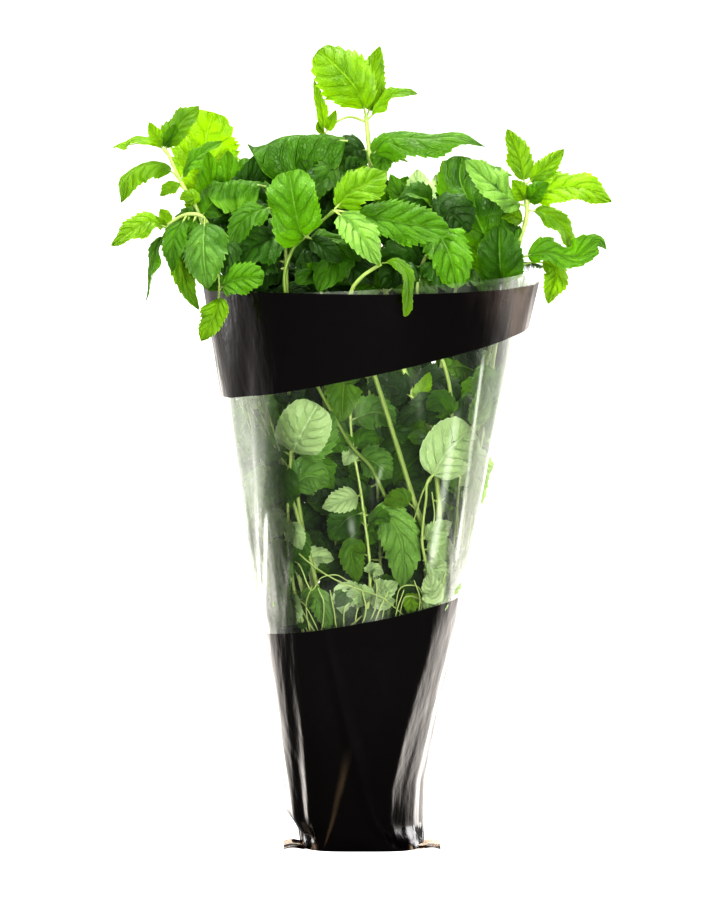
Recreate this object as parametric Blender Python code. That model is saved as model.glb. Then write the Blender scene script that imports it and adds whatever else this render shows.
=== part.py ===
"""A clump of water mint growing in a small pot, inside a tapered sleeve of clear film.

Metres, +Z up. The origin is on the surface that the sleeve stands on, at the middle of the pot. +X is to the
right and -Y is towards the viewer of the photograph.

Made things are given by their real sizes. The plant is irregular, so each of its points is given by where the
photograph shows it: pixel across, pixel down (in 720 x 900) and depth in millimetres behind the pot's axis.
"""

import math
from collections import namedtuple

import bmesh
import bpy
from mathutils import Matrix, Vector

MM = 0.001

# Driving dimensions, in millimetres
SLEEVE_HEIGHT = 301.0
SLEEVE_RIM_TILT = 5.0  # the rim is this much higher at the right, and lower at the left
SLEEVE_WALL = 0.6
SLEEVE_FLOOR = 0.8
SEAM_REACH = 3.5  # the welded side seams stand out this far
SEAM_THICKNESS = 1.0
GROOVE_FLARE = 1.6  # on the inside a seam's groove opens to this many times its thickness
EAR_REACH = 8.5  # the sealed corners of the foot stick out this far, to the left and right
EAR_WIDENING = 4.5
EAR_THICKNESS = 1.4
EAR_FADE = 1.2  # the height over which an ear narrows to the seam above it
POT_HEIGHT = 62.0
POT_RADIUS_TOP = 33.0
POT_RADIUS_FOOT = 26.0
POT_WALL = 2.0
POT_LIP_HEIGHT = 6.0
POT_LIP_REACH = 0.8
MEDIUM_TOP = 63.0
MEDIUM_EDGE = 5.0  # the top edge of the growing medium is rounded off over this height
STEM_FOOT = 6.0  # a stem leaves the medium upright for this far
SHOOT_RADIUS = 0.9
STEM_RADIUS = 1.3
LEAF_THICKNESS = 0.6
PETIOLE_RADIUS = 0.65
BROAD_LEAF = 16.0  # a leaf wider than this has its halves curved
STRAIGHT = 0.12  # a stem point closer than this to the line between its neighbours is left out
GAP = 0.35

# Where the photograph was taken from, in metres, and its scale at the pot's axis
CAMERA = Vector((0.0, -2.0, 0.47))
CAMERA_AIM = Vector((0.0016, 0.0, 0.209))
PIXELS_PER_METRE = 1900.0
PICTURE_MIDDLE = (360.0, 450.0)

# The sleeve's half-widths at each height: height, left edge, right edge, half depth, squareness of its section
Section = namedtuple("Section", "height left right depth squareness")
SLEEVE_SECTIONS = [
    Section(0.0, -30.0, 35.5, 31.0, 5.0),
    Section(9.0, -31.5, 36.0, 32.5, 5.0),
    Section(34.0, -39.0, 37.5, 37.0, 4.0),
    Section(110.0, -51.0, 54.0, 48.5, 2.5),
    Section(SLEEVE_HEIGHT, -80.5, 97.0, 84.0, 2.0),
]
SECTION_CORNERS = 26

# A leaf runs from its stem through `via`, half-way, to its tip. `facing` is where its upper side looks.
# `fold` lifts both halves like an open book, in degrees, `droop` bends the margins down, as a share of the
# half-width, and `twist` turns the blade about its midrib from base to tip, in degrees. A small `shoulder`
# gives a broad base and a large one a wedge, and a small `roundness` gives a blunt tip.
LEAF_FIELDS = "name start via tip width facing fold droop twist petiole shoulder roundness color"
Leaf = namedtuple("Leaf", LEAF_FIELDS)
BRIGHT = (0.23, 0.46, 0.03)
MID = (0.12, 0.30, 0.03)
DEEP = (0.04, 0.13, 0.02)
PALE = (0.36, 0.50, 0.22)


def leaf(name, start, via, tip, width, facing, color=MID, fold=14, droop=0.12, twist=0, petiole=0.1,
         shoulder=0.5, roundness=0.7):
    facing = Vector(facing)
    return Leaf(name, start, via, tip, width, facing, fold, droop, twist, petiole, shoulder, roundness, color)


TOP_LEAVES = [
    leaf("top_leaf_broad", (366, 115, 10), (356, 88, 2), (334, 48, 8), 34, (-0.15, -1, 0.15), BRIGHT,
         shoulder=0.85, roundness=0.38),
    leaf("top_leaf_pointed", (367, 117, 14), (370, 88, 20), (380, 46, 20), 14, (0.2, -1, 0.1), BRIGHT),
    leaf("top_leaf_small", (368, 119, 8), (392, 98, 2), (418, 94, 2), 13, (0, -0.5, 1), BRIGHT),
    leaf("top_leaf_long", (371, 155, 10), (427, 141, 4), (485, 146, 0), 25, (0.05, -0.5, 0.85), twist=-15),
    leaf("top_leaf_shaded", (370, 150, 12), (352, 152, 8), (334, 176, 4), 20, (-0.4, -0.6, 0.7), DEEP),
]
CENTRE_LEAVES = [
    leaf("crown_leaf_draped", (341, 139, 0), (297, 133, -3), (250, 146, -6), 44, (0, -0.45, 0.9), fold=-54,
         petiole=0.03, shoulder=0.3, roundness=0.4),
    leaf("crown_leaf_deep", (338, 172, -2), (322, 180, -17), (306, 200, -22), 18, (-0.2, -0.8, 0.6), DEEP),
    leaf("left_centre_leaf_drooping", (266, 187, -34), (240, 183, -38), (210, 191, -42), 32, (0, -0.5, 0.85),
         fold=-50),
    leaf("left_centre_leaf_rimmed", (273, 207, -37), (250, 219, -48), (233, 245, -54), 14, (-0.4, -0.7, 0.6)),
    leaf("left_centre_leaf_deep", (284, 231, -37), (256, 246, -46), (225, 264, -52), 24, (-0.1, -0.8, 0.6), DEEP),
    leaf("centre_leaf_low", (322, 254, -12), (318, 268, -28), (296, 284, -40), 22, (0, -0.8, 0.6)),
]
FRONT_LEAVES = [
    leaf("front_leaf_round", (300, 243, -61), (296, 209, -71), (290, 171, -63), 29, (-0.15, -1, 0.15), BRIGHT,
         petiole=0.02, shoulder=0.4, roundness=0.42),
    leaf("front_leaf_lit", (335, 209, -62), (361, 196, -64), (388, 178, -58), 19, (-0.2, -0.85, 0.5), BRIGHT),
    leaf("front_leaf_veined", (335, 211, -63), (358, 234, -77), (380, 265, -84), 18, (0.25, -1, 0.25), PALE),
    leaf("front_leaf_long", (335, 210, -61), (396, 224, -62), (450, 231, -58), 24, (0.1, -0.85, 0.5), petiole=0.2),
    leaf("front_leaf_small", (307, 238, -59), (330, 241, -54), (353, 241, -53), 12, (0, -0.5, 0.85)),
    leaf("rim_leaf_broad", (437, 214, -24), (450, 250, -56), (457, 288, -66), 23, (0.15, -1, 0.3), petiole=0.25),
    leaf("rim_leaf_hanging", (382, 263, -78), (404, 270, -92), (406, 316, -93), 11, (0.5, -0.8, 0.4), BRIGHT,
         roundness=0.5),
]
RIGHT_LEAVES = [
    leaf("right_leaf_great", (507, 288, -18), (476, 225, -22), (458, 157, -6), 28, (-0.2, -0.9, 0.3)),
    leaf("right_leaf_round", (503, 290, -31), (500, 262, -42), (499, 233, -42), 25, (0, -1, 0.2)),
    leaf("right_leaf_cool", (526, 206, -18), (497, 190, -24), (466, 162, -26), 26, (-0.2, -0.6, 0.75)),
    leaf("right_sprig_leaf_upright", (525, 186, -16), (520, 160, -14), (507, 129, -12), 14, (0.35, -0.9, 0.2), BRIGHT),
    leaf("right_sprig_leaf_small", (526, 184, -17), (545, 168, -19), (564, 149, -18), 11, (0, -0.8, 0.5), BRIGHT),
    leaf("right_sprig_leaf_long", (527, 204, -18), (570, 194, -24), (612, 202, -30), 19, (0.1, -0.75, 0.6), BRIGHT),
    leaf("right_sprig_leaf_curved", (527, 210, -18), (557, 220, -20), (575, 250, -18), 11, (0.5, -0.6, 0.6), BRIGHT),
    leaf("right_sprig_leaf_wavy", (518, 258, -30), (562, 254, -34), (607, 249, -36), 18, (0.1, -0.6, 0.8)),
    leaf("right_rim_leaf_hanging", (516, 266, -30), (549, 270, -28), (550, 303, -28), 13, (0.3, -1, 0.2), BRIGHT,
         petiole=0.35),
]
LEFT_LEAVES = [
    leaf("left_leaf_upright", (165, 150, -21), (178, 128, -22), (199, 106, -20), 13, (-0.3, -0.8, 0.5), BRIGHT),
    leaf("left_leaf_level", (164, 149, -20), (140, 141, -16), (111, 148, -12), 14, (0, -0.25, 1), BRIGHT),
    leaf("left_leaf_arching", (178, 176, -24), (132, 171, -28), (122, 202, -32), 15, (-0.2, -0.5, 0.85), BRIGHT),
    leaf("left_leaf_rising", (180, 180, -25), (200, 163, -30), (222, 141, -34), 13, (-0.4, -0.4, 0.8)),
    leaf("left_leaf_backlit", (209, 206, 14), (209, 160, 18), (213, 112, 14), 36, (0, -1, 0.1), BRIGHT,
         roundness=0.5),
]
LEFT_FRONT_LEAVES = [
    leaf("left_front_leaf_arching", (168, 228, -43), (140, 229, -50), (111, 248, -52), 13, (-0.2, -0.6, 0.75), BRIGHT),
    leaf("left_front_leaf_curled", (167, 231, -42), (155, 262, -40), (146, 302, -38), 9, (-0.7, -0.6, 0.2), twist=60),
    leaf("left_front_leaf_narrow", (186, 216, -45), (176, 244, -54), (172, 271, -56), 12, (-0.4, -0.9, 0.2)),
    leaf("left_front_leaf_broad", (205, 218, -46), (206, 248, -62), (209, 288, -67), 25, (-0.15, -1, 0.3)),
    leaf("left_front_leaf_behind", (189, 217, -43), (181, 262, -44), (199, 310, -48), 10, (-0.5, -0.8, 0.2)),
    leaf("left_rim_leaf_rounded", (219, 290, -55), (241, 287, -64), (264, 279, -68), 17, (-0.1, -0.9, 0.45), MID,
         roundness=0.5),
    leaf("left_rim_leaf_hanging", (219, 294, -56), (213, 316, -62), (201, 340, -62), 13, (-0.3, -0.9, 0.3), BRIGHT),
]

# A stem grows from a root point on the medium (millimetres) and then follows points seen in the photograph, or
# guessed where the bands hide it. Small leaves and side shoots that grew with it are one piece with it.
Stem = namedtuple("Stem", "name root path radius shoots leaves")


def stem(name, root, path, radius=STEM_RADIUS, shoots=(), leaves=()):
    return Stem(name, root, path, radius, shoots, leaves)


STEMS = [
    stem("top_sprig_stem", (14, -3),
         [(436, 560, -12), (431, 437, -16), (414, 399, -16), (393, 330, -6), (378, 240, 8), (371, 168, 12),
          (368, 137, 12), (366, 116, 11)],
         1.5,
         shoots=[[(367, 122, 12), (349, 117, 14), (332, 125, 15), (324, 135, 16)]],
         leaves=[leaf("", (324, 134, 16), (319, 108, 14), (314, 80, 14), 6, (0.3, -1, 0), BRIGHT),
                 leaf("", (327, 131, 16), (330, 121, 12), (334, 111, 12), 5, (0, -1, 0.2), BRIGHT),
                 leaf("", (377, 232, 8), (404, 200, 6), (438, 206, 4), 26, (0, -0.8, 0.6), DEEP),
                 leaf("", (384, 276, 3), (412, 258, -6), (440, 270, -10), 26, (0, -0.8, 0.6), DEEP),
                 leaf("", (374, 196, 11), (350, 184, 16), (326, 204, 18), 24, (0, -0.8, 0.6), DEEP)]),
    stem("centre_sprig_stem", (-4, 9),
         [(338, 560, 6), (326, 440, -2), (322, 320, -10), (322, 260, -8), (330, 215, -2), (338, 170, 0),
          (342, 142, 3)],
         leaves=[leaf("", (326, 238, -5), (345, 222, -14), (372, 238, -20), 24, (0, -0.6, 0.8), DEEP),
                 leaf("", (322, 268, -8), (348, 264, -20), (374, 284, -26), 22, (0, -0.6, 0.8), DEEP),
                 leaf("", (331, 210, -2), (296, 184, 8), (258, 172, 12), 26, (-0.1, -0.9, 0.5), DEEP)]),
    stem("left_centre_sprig_stem", (-8, -2),
         [(312, 580, -8), (292, 450, -20), (288, 330, -28), (286, 260, -33), (284, 230, -35), (274, 205, -34),
          (267, 188, -33)],
         leaves=[leaf("", (286, 268, -32), (264, 272, -36), (242, 292, -36), 22, (0, -0.7, 0.7), DEEP)]),
    stem("left_sprig_stem", (-15, -5),
         [(300, 580, -13), (262, 460, -20), (245, 390, -22), (226, 300, -25), (208, 240, -26), (197, 209, -26),
          (181, 182, -24), (169, 156, -22), (164, 149, -21)],
         leaves=[leaf("", (164, 150, -21), (155, 136, -22), (149, 122, -22), 6, (-0.3, -1, 0.2), BRIGHT),
                 leaf("", (181, 182, -24), (171, 187, -28), (160, 196, -30), 7, (-0.3, -0.8, 0.5), BRIGHT)]),
    stem("left_front_sprig_stem", (-12, -14),
         [(318, 590, -26), (280, 460, -34), (262, 400, -38), (243, 330, -38), (226, 280, -40), (213, 242, -42),
          (205, 219, -43), (188, 214, -42), (172, 222, -41), (166, 231, -41)],
         shoots=[[(213, 242, -42), (216, 262, -52), (219, 278, -55), (219, 295, -55)]],
         leaves=[leaf("", (170, 224, -41), (164, 219, -41), (160, 211, -41), 5, (-0.3, -1, 0.2), BRIGHT)]),
    stem("left_rear_sprig_stem", (-11, 12),
         [(306, 590, 12), (272, 450, 14), (245, 330, 16), (225, 250, 16), (214, 220, 15), (209, 208, 14)],
         leaves=[leaf("", (215, 222, 15), (212, 185, 0), (207, 150, -6), 16, (-0.1, -1, 0.2)),
                 leaf("", (219, 234, 16), (230, 190, -2), (237, 148, -8), 15, (0.2, -1, 0.2), DEEP),
                 leaf("", (225, 250, 16), (236, 224, -6), (234, 238, -20), 18, (0, -0.3, 1), DEEP),
                 leaf("", (234, 284, 16), (262, 244, 6), (290, 258, 0), 26, (0, -0.8, 0.6), DEEP)]),
    stem("front_sprig_stem", (2, -12),
         [(398, 560, -20), (376, 477, -28), (348, 441, -34), (305, 360, -50), (285, 290, -62), (291, 253, -62),
          (306, 236, -60), (322, 221, -60), (334, 211, -61)],
         leaves=[leaf("", (333, 212, -61), (350, 190, -56), (366, 165, -54), 11, (-0.3, -1, 0.2), BRIGHT),
                 leaf("", (307, 236, -60), (330, 252, -64), (342, 262, -60), 12, (0.1, -1, 0.4), DEEP)]),
    stem("arching_stem", (12, -14),
         [(443, 609, -26), (433, 554, -30), (417, 510, -34), (397, 446, -44), (378, 386, -54), (356, 320, -66),
          (351, 294, -72), (362, 277, -76), (381, 264, -78)]),
    stem("rear_right_sprig_stem", (20, 4),
         [(452, 560, -4), (452, 425, -24), (446, 371, -36), (424, 320, -46), (417, 292, -50), (421, 268, -46),
          (428, 250, -38), (434, 222, -28), (432, 203, -16)],
         leaves=[leaf("", (432, 210, -18), (420, 192, -10), (417, 170, -8), 15, (-0.1, -1, 0.2), PALE),
                 leaf("", (432, 207, -18.5), (436, 186, -6), (433, 176, -2), 13, (0.1, -1, 0.2), PALE),
                 leaf("", (432, 205, -16), (443, 184, -2), (443, 160, 2), 10, (0.2, -1, 0.1), PALE),
                 leaf("", (432, 210, -20), (420, 199, -32), (398, 202, -34), 15, (0, -0.8, 0.5), DEEP),
                 leaf("", (433, 214, -23), (405, 200, -14), (390, 174, -10), 12, (-0.1, -1, 0.2))]),
    stem("right_sprig_stem", (24, -5),
         [(456, 590, -8), (482, 430, -14), (498, 330, -17), (508, 287, -18), (518, 247, -18), (526, 220, -18),
          (527, 204, -18), (525, 186, -17)],
         1.5,
         leaves=[leaf("", (527, 203, -18), (538, 190, -26), (547, 183, -28), 9, (0.1, -1, 0.3)),
                 leaf("", (526, 202, -18), (520, 190, -24), (513, 181, -26), 9, (-0.1, -1, 0.3), BRIGHT)]),
    stem("right_low_sprig_stem", (17, -12),
         [(450, 600, -14), (474, 430, -12), (494, 330, -24), (503, 290, -31), (509, 272, -31), (518, 258, -30)]),
    stem("window_left_sprig", (-17, -14),
         [(296, 600, -26), (288, 520, -36), (290, 470, -42), (292, 440, -44)],
         1.0,
         leaves=[leaf("", (291, 456, -43), (303, 430, -54), (318, 405, -56), 27, (0, -1, 0.1), PALE, roundness=0.42),
                 leaf("", (291, 455, -43), (268, 444, -41), (245, 431, -30), 15, (-0.2, -1, 0.3), DEEP),
                 leaf("", (291, 462, -42), (285, 482, -42), (284, 509, -30), 19, (-0.1, -1, 0.2)),
                 leaf("", (295, 590, -27), (289, 604, -32), (291, 623, -30), 15, (-0.1, -1, 0.2), PALE),
                 leaf("", (289, 530, -35), (300, 540, -38), (297, 572, -35), 12, (0, -1, 0.2))]),
    stem("window_right_sprig", (5, -20),
         [(424, 600, -30), (422, 540, -40), (426, 500, -46), (430, 478, -48), (460, 455, -36), (470, 430, -34)],
         1.0,
         leaves=[leaf("", (429, 482, -48), (448, 452, -42), (470, 430, -34), 27, (0.25, -1, 0.1), PALE, roundness=0.5),
                 leaf("", (464, 446, -35), (472, 486, -26), (469, 516, -23), 15, (0.3, -1, 0.1), PALE),
                 leaf("", (470, 430, -34), (480, 410, -36), (486, 380, -34), 10, (0.3, -1, 0.1)),
                 leaf("", (424, 594, -31), (431, 588, -36), (430, 574, -38), 9, (0.3, -0.8, 0.4), PALE),
                 leaf("", (424, 604, -30), (414, 606, -34), (409, 616, -34), 8, (-0.2, -0.8, 0.5), BRIGHT)]),
    stem("window_middle_sprig", (-3, -19),
         [(366, 620, -28), (370, 570, -32), (362, 500, -24), (352, 440, -20), (350, 400, -22)],
         1.0,
         leaves=[leaf("", (368, 604, -29), (360, 598, -38), (350, 592, -40), 10, (0, -1, 0.2), PALE),
                 leaf("", (369, 590, -30), (384, 590, -38), (396, 582, -40), 10, (0, -1, 0.2), PALE),
                 leaf("", (368, 560, -31), (352, 556, -38), (338, 570, -40), 13, (0, -1, 0.2), BRIGHT),
                 leaf("", (364, 515, -26), (390, 530, -26), (404, 580, -24), 18, (0, -1, 0.2)),
                 leaf("", (351, 410, -21), (350, 402, -34), (347, 420, -42), 13, (0, -0.4, 1), BRIGHT)]),
    stem("window_deep_sprig", (6, 8),
         [(380, 600, 6), (378, 500, 4), (372, 420, 4), (366, 360, 4)],
         1.0,
         leaves=[leaf("", (379, 520, 5), (350, 500, -8), (322, 480, -10), 22, (0, -1, 0.2), DEEP),
                 leaf("", (378, 500, 4), (405, 470, 0), (425, 450, 0), 22, (0, -1, 0.2), DEEP),
                 leaf("", (376, 470, 4), (350, 440, 2), (330, 400, 2), 22, (0, -1, 0.2), DEEP),
                 leaf("", (379, 560, 5), (350, 560, -6), (322, 580, -6), 20, (0, -1, 0.2), DEEP)]),
    stem("back_left_sprig", (-14, 20),
         [(310, 580, 26), (285, 430, 36), (262, 320, 44), (246, 250, 50), (238, 200, 56), (236, 178, 58)],
         leaves=[leaf("", (236, 180, 58), (222, 160, 64), (202, 156, 72), 22, (-0.2, 0.1, 1)),
                 leaf("", (236, 182, 58), (252, 164, 64), (272, 164, 70), 20, (0.2, 0.1, 1)),
                 leaf("", (245, 245, 50), (214, 230, 56), (184, 242, 60), 24, (-0.3, 0.1, 1)),
                 leaf("", (242, 224, 53), (256, 216, 72), (262, 240, 90), 26, (0.1, 0.2, 1)),
                 leaf("", (249, 266, 48), (228, 256, 64), (212, 272, 76), 22, (-0.1, 0.2, 1), DEEP)]),
    stem("back_middle_sprig", (3, 22),
         [(352, 580, 28), (350, 430, 40), (352, 320, 48), (356, 250, 52), (360, 190, 54), (362, 160, 54)],
         leaves=[leaf("", (362, 162, 54), (338, 150, 60), (312, 160, 64), 24, (-0.2, 0.1, 1)),
                 leaf("", (361, 166, 54), (384, 152, 60), (408, 162, 64), 24, (0.2, 0.1, 1)),
                 leaf("", (360, 196, 54), (352, 184, 74), (350, 208, 92), 28, (0, 0.2, 1)),
                 leaf("", (357, 234, 52), (386, 222, 66), (408, 240, 78), 24, (0.2, 0.1, 1)),
                 leaf("", (356, 254, 52), (328, 242, 66), (306, 262, 76), 24, (-0.1, 0.2, 1), DEEP)]),
    stem("back_right_sprig", (19, 16),
         [(402, 580, 22), (428, 430, 32), (450, 320, 40), (462, 250, 44), (468, 200, 44), (469, 180, 44)],
         leaves=[leaf("", (469, 182, 44), (488, 170, 52), (512, 176, 58), 22, (0.2, 0.1, 1)),
                 leaf("", (468, 192, 44), (456, 178, 58), (446, 190, 74), 20, (-0.1, 0.2, 1)),
                 leaf("", (464, 230, 44), (492, 218, 54), (520, 234, 60), 24, (0.2, 0.1, 1)),
                 leaf("", (463, 244, 44), (452, 230, 64), (444, 250, 82), 26, (-0.1, 0.2, 1)),
                 leaf("", (460, 262, 43), (482, 252, 60), (500, 272, 72), 22, (0.2, 0.2, 1), DEEP)]),
]
ALL_LEAVES = TOP_LEAVES + CENTRE_LEAVES + FRONT_LEAVES + RIGHT_LEAVES + LEFT_LEAVES + LEFT_FRONT_LEAVES


def seen(point):
    """The place, in metres, of a point given by its pixel in the photograph and its depth in millimetres."""
    across, down, depth = point
    forward = (CAMERA_AIM - CAMERA).normalized()
    right = forward.cross(Vector((0, 0, 1))).normalized()
    up = right.cross(forward)
    focal_pixels = PIXELS_PER_METRE * (CAMERA_AIM - CAMERA).length
    ray = forward + right * (across - PICTURE_MIDDLE[0]) / focal_pixels
    ray += up * (PICTURE_MIDDLE[1] - down) / focal_pixels
    return CAMERA + ray * ((depth * MM - CAMERA.y) / ray.y)


def material(name, color, roughness, metallic=0.0, alpha=1.0):
    """One Principled material, shared by every piece that asks for the same name."""
    found = bpy.data.materials.get(name)
    if found:
        return found
    made = bpy.data.materials.new(name)
    made.use_nodes = True
    shader = made.node_tree.nodes["Principled BSDF"]
    shader.inputs["Base Color"].default_value = (*color, 1.0)
    shader.inputs["Roughness"].default_value = roughness
    shader.inputs["Metallic"].default_value = metallic
    shader.inputs["Alpha"].default_value = alpha
    return made


def loft(name, rings, look, end_point=None):
    """A closed piece through rings of points, all with as many points, ending in a face or in a single point.

    The first half of each ring is one side of a thin piece and the rest its other side. Both are cut into
    triangles along the same diagonals, so that the two sides stay parallel where the piece is twisted.
    """
    shape = bmesh.new()
    loops = [[shape.verts.new(point) for point in ring] for ring in rings]
    count = len(loops[0])
    for low, high in zip(loops, loops[1:]):
        for i in range(count):
            j = (i + 1) % count
            if i < count // 2:
                shape.faces.new((low[i], low[j], high[j]))
                shape.faces.new((low[i], high[j], high[i]))
            else:
                shape.faces.new((low[i], low[j], high[i]))
                shape.faces.new((low[j], high[j], high[i]))
    shape.faces.new(loops[0][::-1])
    if end_point is None:
        shape.faces.new(loops[-1])
    else:
        tip = shape.verts.new(end_point)
        for i in range(count):
            shape.faces.new((loops[-1][i], loops[-1][(i + 1) % count], tip))
    bmesh.ops.recalc_face_normals(shape, faces=shape.faces)
    mesh = bpy.data.meshes.new(name)
    shape.to_mesh(mesh)
    shape.free()
    mesh.materials.append(look)
    mesh.shade_smooth()
    mesh.set_sharp_from_angle(angle=math.radians(40))
    piece = bpy.data.objects.new(name, mesh)
    bpy.context.scene.collection.objects.link(piece)
    return piece


def smooth_path(points, steps):
    """Catmull-Rom points through the given ones, `steps` to each stretch."""
    ends = [2 * points[0] - points[1], *points, 2 * points[-1] - points[-2]]
    path = []
    for a, b, c, d in zip(ends, ends[1:], ends[2:], ends[3:]):
        for step in range(steps):
            t = step / steps
            path.append(0.5 * (2 * b + (c - a) * t + (2 * a - 5 * b + 4 * c - d) * t**2
                               + (3 * b - a - 3 * c + d) * t**3))
    return path + [points[-1]]


def without_straight_points(path):
    """The path without the points that hardly bend it."""
    kept = [path[0]]
    for spot, following in zip(path[1:], path[2:]):
        line = (following - kept[-1]).normalized()
        offset = spot - kept[-1]
        if (offset - line * offset.dot(line)).length > STRAIGHT * MM:
            kept.append(spot)
    return kept + [path[-1]]


def blade_width(along, shoulder, roundness):
    """A leaf's outline: 0 at both ends and 1 where it is broadest, on most leaves two fifths along."""
    broadest = shoulder / (shoulder + roundness)
    peak = broadest**shoulder * (1 - broadest) ** roundness
    return max(along, 0.0) ** shoulder * max(1 - along, 0.0) ** roundness / peak


def leaf_rings(blade, clearance, broad, stations):
    """Rings round the petiole and the blade, which is thickest at its midrib and sharp at its margins.

    A blade wider than `broad` has its halves curved, by one more line of points down the middle of each.
    """
    start, via, tip = seen(blade.start), seen(blade.via), seen(blade.tip)
    control = 2 * via - (start + tip) / 2
    start = start + (control - start).normalized() * clearance
    facing = blade.facing.normalized()
    shares = [-1, 0, 1] if blade.width < broad else [-1, -0.5, 0, 0.5, 1]
    places = [0.0, blade.petiole] + [blade.petiole + (1 - blade.petiole) * station for station in stations]
    rings = []
    for place in places:
        spot = start * (1 - place) ** 2 + control * 2 * place * (1 - place) + tip * place**2
        along = ((control - start) * (1 - place) + (tip - control) * place).normalized()
        normal = (facing - along * facing.dot(along)).normalized()
        normal = Matrix.Rotation(math.radians(blade.twist) * place, 3, along) @ normal
        side = along.cross(normal)
        on_blade = (place - blade.petiole) / (1 - blade.petiole)
        half = blade.width * MM / 2 * blade_width(on_blade, blade.shoulder, blade.roundness)
        opened = min(1.0, half / (blade.width * MM / 2))
        half = max(half, PETIOLE_RADIUS * MM)
        thick = PETIOLE_RADIUS * MM + (LEAF_THICKNESS * MM / 2 - PETIOLE_RADIUS * MM) * opened
        fold = math.radians(blade.fold) * opened

        def across(share, lift):
            out = side * (half * share * math.cos(fold))
            rise = half * abs(share) * math.sin(fold) - blade.droop * opened * half * share**2
            return spot + out + normal * (rise + lift)

        upper = [across(share, thick if abs(share) < 1 else 0.0) for share in shares]
        under = [across(share, -thick) for share in reversed(shares[1:-1])]
        rings.append(upper + under)
    return rings, tip


def make_leaf(blade):
    """A leaf in its own node, which stops just short of the stem that it grew on."""
    rings, tip = leaf_rings(blade, (STEM_RADIUS + GAP) * MM, BROAD_LEAF, (0.08, 0.3, 0.6, 0.86))
    return finish_leaf(blade, rings, tip)


def make_grown_leaf(blade):
    """A small or hidden leaf that starts inside its stem, to be joined to it."""
    rings, tip = leaf_rings(blade, 0.0, math.inf, (0.1, 0.45, 0.8))
    return finish_leaf(blade, rings, tip)


def finish_leaf(blade, rings, tip):
    name = "leaf_" + "_".join(f"{round(channel * 100)}" for channel in blade.color)
    return loft(blade.name, rings, material(name, blade.color, 0.45), end_point=tip)


def tube_rings(path, radius):
    """Square rings along a path: mint stems are square. They taper to two thirds of the radius."""
    rings = []
    side = Vector((1, 0, 0))
    length = sum((high - low).length for low, high in zip(path, path[1:]))
    passed = 0.0
    for i, spot in enumerate(path):
        along = (path[min(i + 1, len(path) - 1)] - path[max(i - 1, 0)]).normalized()
        side = (side - along * side.dot(along)).normalized()
        normal = along.cross(side)
        passed += (spot - path[max(i - 1, 0)]).length
        reach = radius * MM * (1 - passed / length / 3)
        rings.append([spot + (side * x + normal * y) * reach for x, y in ((1, 0), (0, 1), (-1, 0), (0, -1))])
    return rings


def make_stem(spec):
    """A stem with the shoots and small leaves that are one piece with it."""
    root = Vector((spec.root[0] * MM, spec.root[1] * MM, (MEDIUM_TOP + GAP) * MM))
    look = material("stem", (0.36, 0.46, 0.12), 0.5)
    upright = root + Vector((0, 0, STEM_FOOT * MM))
    path = [root] + without_straight_points(smooth_path([upright] + [seen(point) for point in spec.path], 2))
    piece = loft(spec.name, tube_rings(path, spec.radius), look)
    grown = []
    for number, shoot in enumerate(spec.shoots):
        points = without_straight_points(smooth_path([seen(point) for point in shoot], 2))
        grown.append(loft(f"{spec.name}_shoot_{number}", tube_rings(points, SHOOT_RADIUS), look))
    for number, blade in enumerate(spec.leaves):
        grown.append(make_grown_leaf(blade._replace(name=f"{spec.name}_leaf_{number}")))
    if not grown:
        return piece
    joined = bpy.data.collections.new(spec.name + "_grown")
    bpy.context.scene.collection.children.link(joined)
    joined.hide_render = True
    for part in grown:
        bpy.context.scene.collection.objects.unlink(part)
        joined.objects.link(part)
        part.display_type = "WIRE"
        part.hide_render = True
    union = piece.modifiers.new("Grown together", "BOOLEAN")
    union.operation = "UNION"
    union.operand_type = "COLLECTION"
    union.collection = joined
    union.solver = "EXACT"
    union.use_self = True
    return piece


def turned(name, profile, look, corners):
    """A round piece from (radius, height) points in millimetres, which start and end on the axis."""
    shape = bmesh.new()
    points = [shape.verts.new((radius * MM, 0, height * MM)) for radius, height in profile]
    edges = [shape.edges.new(pair) for pair in zip(points, points[1:])]
    bmesh.ops.spin(shape, geom=points + edges, cent=(0, 0, 0), axis=(0, 0, 1), angle=math.tau, steps=corners,
                   use_merge=True)
    bmesh.ops.remove_doubles(shape, verts=shape.verts, dist=0.00001)
    bmesh.ops.recalc_face_normals(shape, faces=shape.faces)
    mesh = bpy.data.meshes.new(name)
    shape.to_mesh(mesh)
    shape.free()
    mesh.materials.append(look)
    mesh.shade_smooth()
    mesh.set_sharp_from_angle(angle=math.radians(40))
    piece = bpy.data.objects.new(name, mesh)
    bpy.context.scene.collection.objects.link(piece)
    return piece


def make_pot():
    """A small tapered fibre pot with a thicker lip, open at the top."""
    foot = SLEEVE_FLOOR + GAP
    top = foot + POT_HEIGHT
    profile = [(0, foot), (POT_RADIUS_FOOT, foot), (POT_RADIUS_TOP - POT_LIP_REACH, top - POT_LIP_HEIGHT),
               (POT_RADIUS_TOP + POT_LIP_REACH, top - POT_LIP_HEIGHT + POT_LIP_REACH),
               (POT_RADIUS_TOP + POT_LIP_REACH, top), (POT_RADIUS_TOP - POT_WALL, top),
               (POT_RADIUS_FOOT - POT_WALL, foot + POT_WALL), (0, foot + POT_WALL)]
    return turned("pot", profile, material("fibre_pot", (0.16, 0.09, 0.05), 0.9), corners=20)


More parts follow.
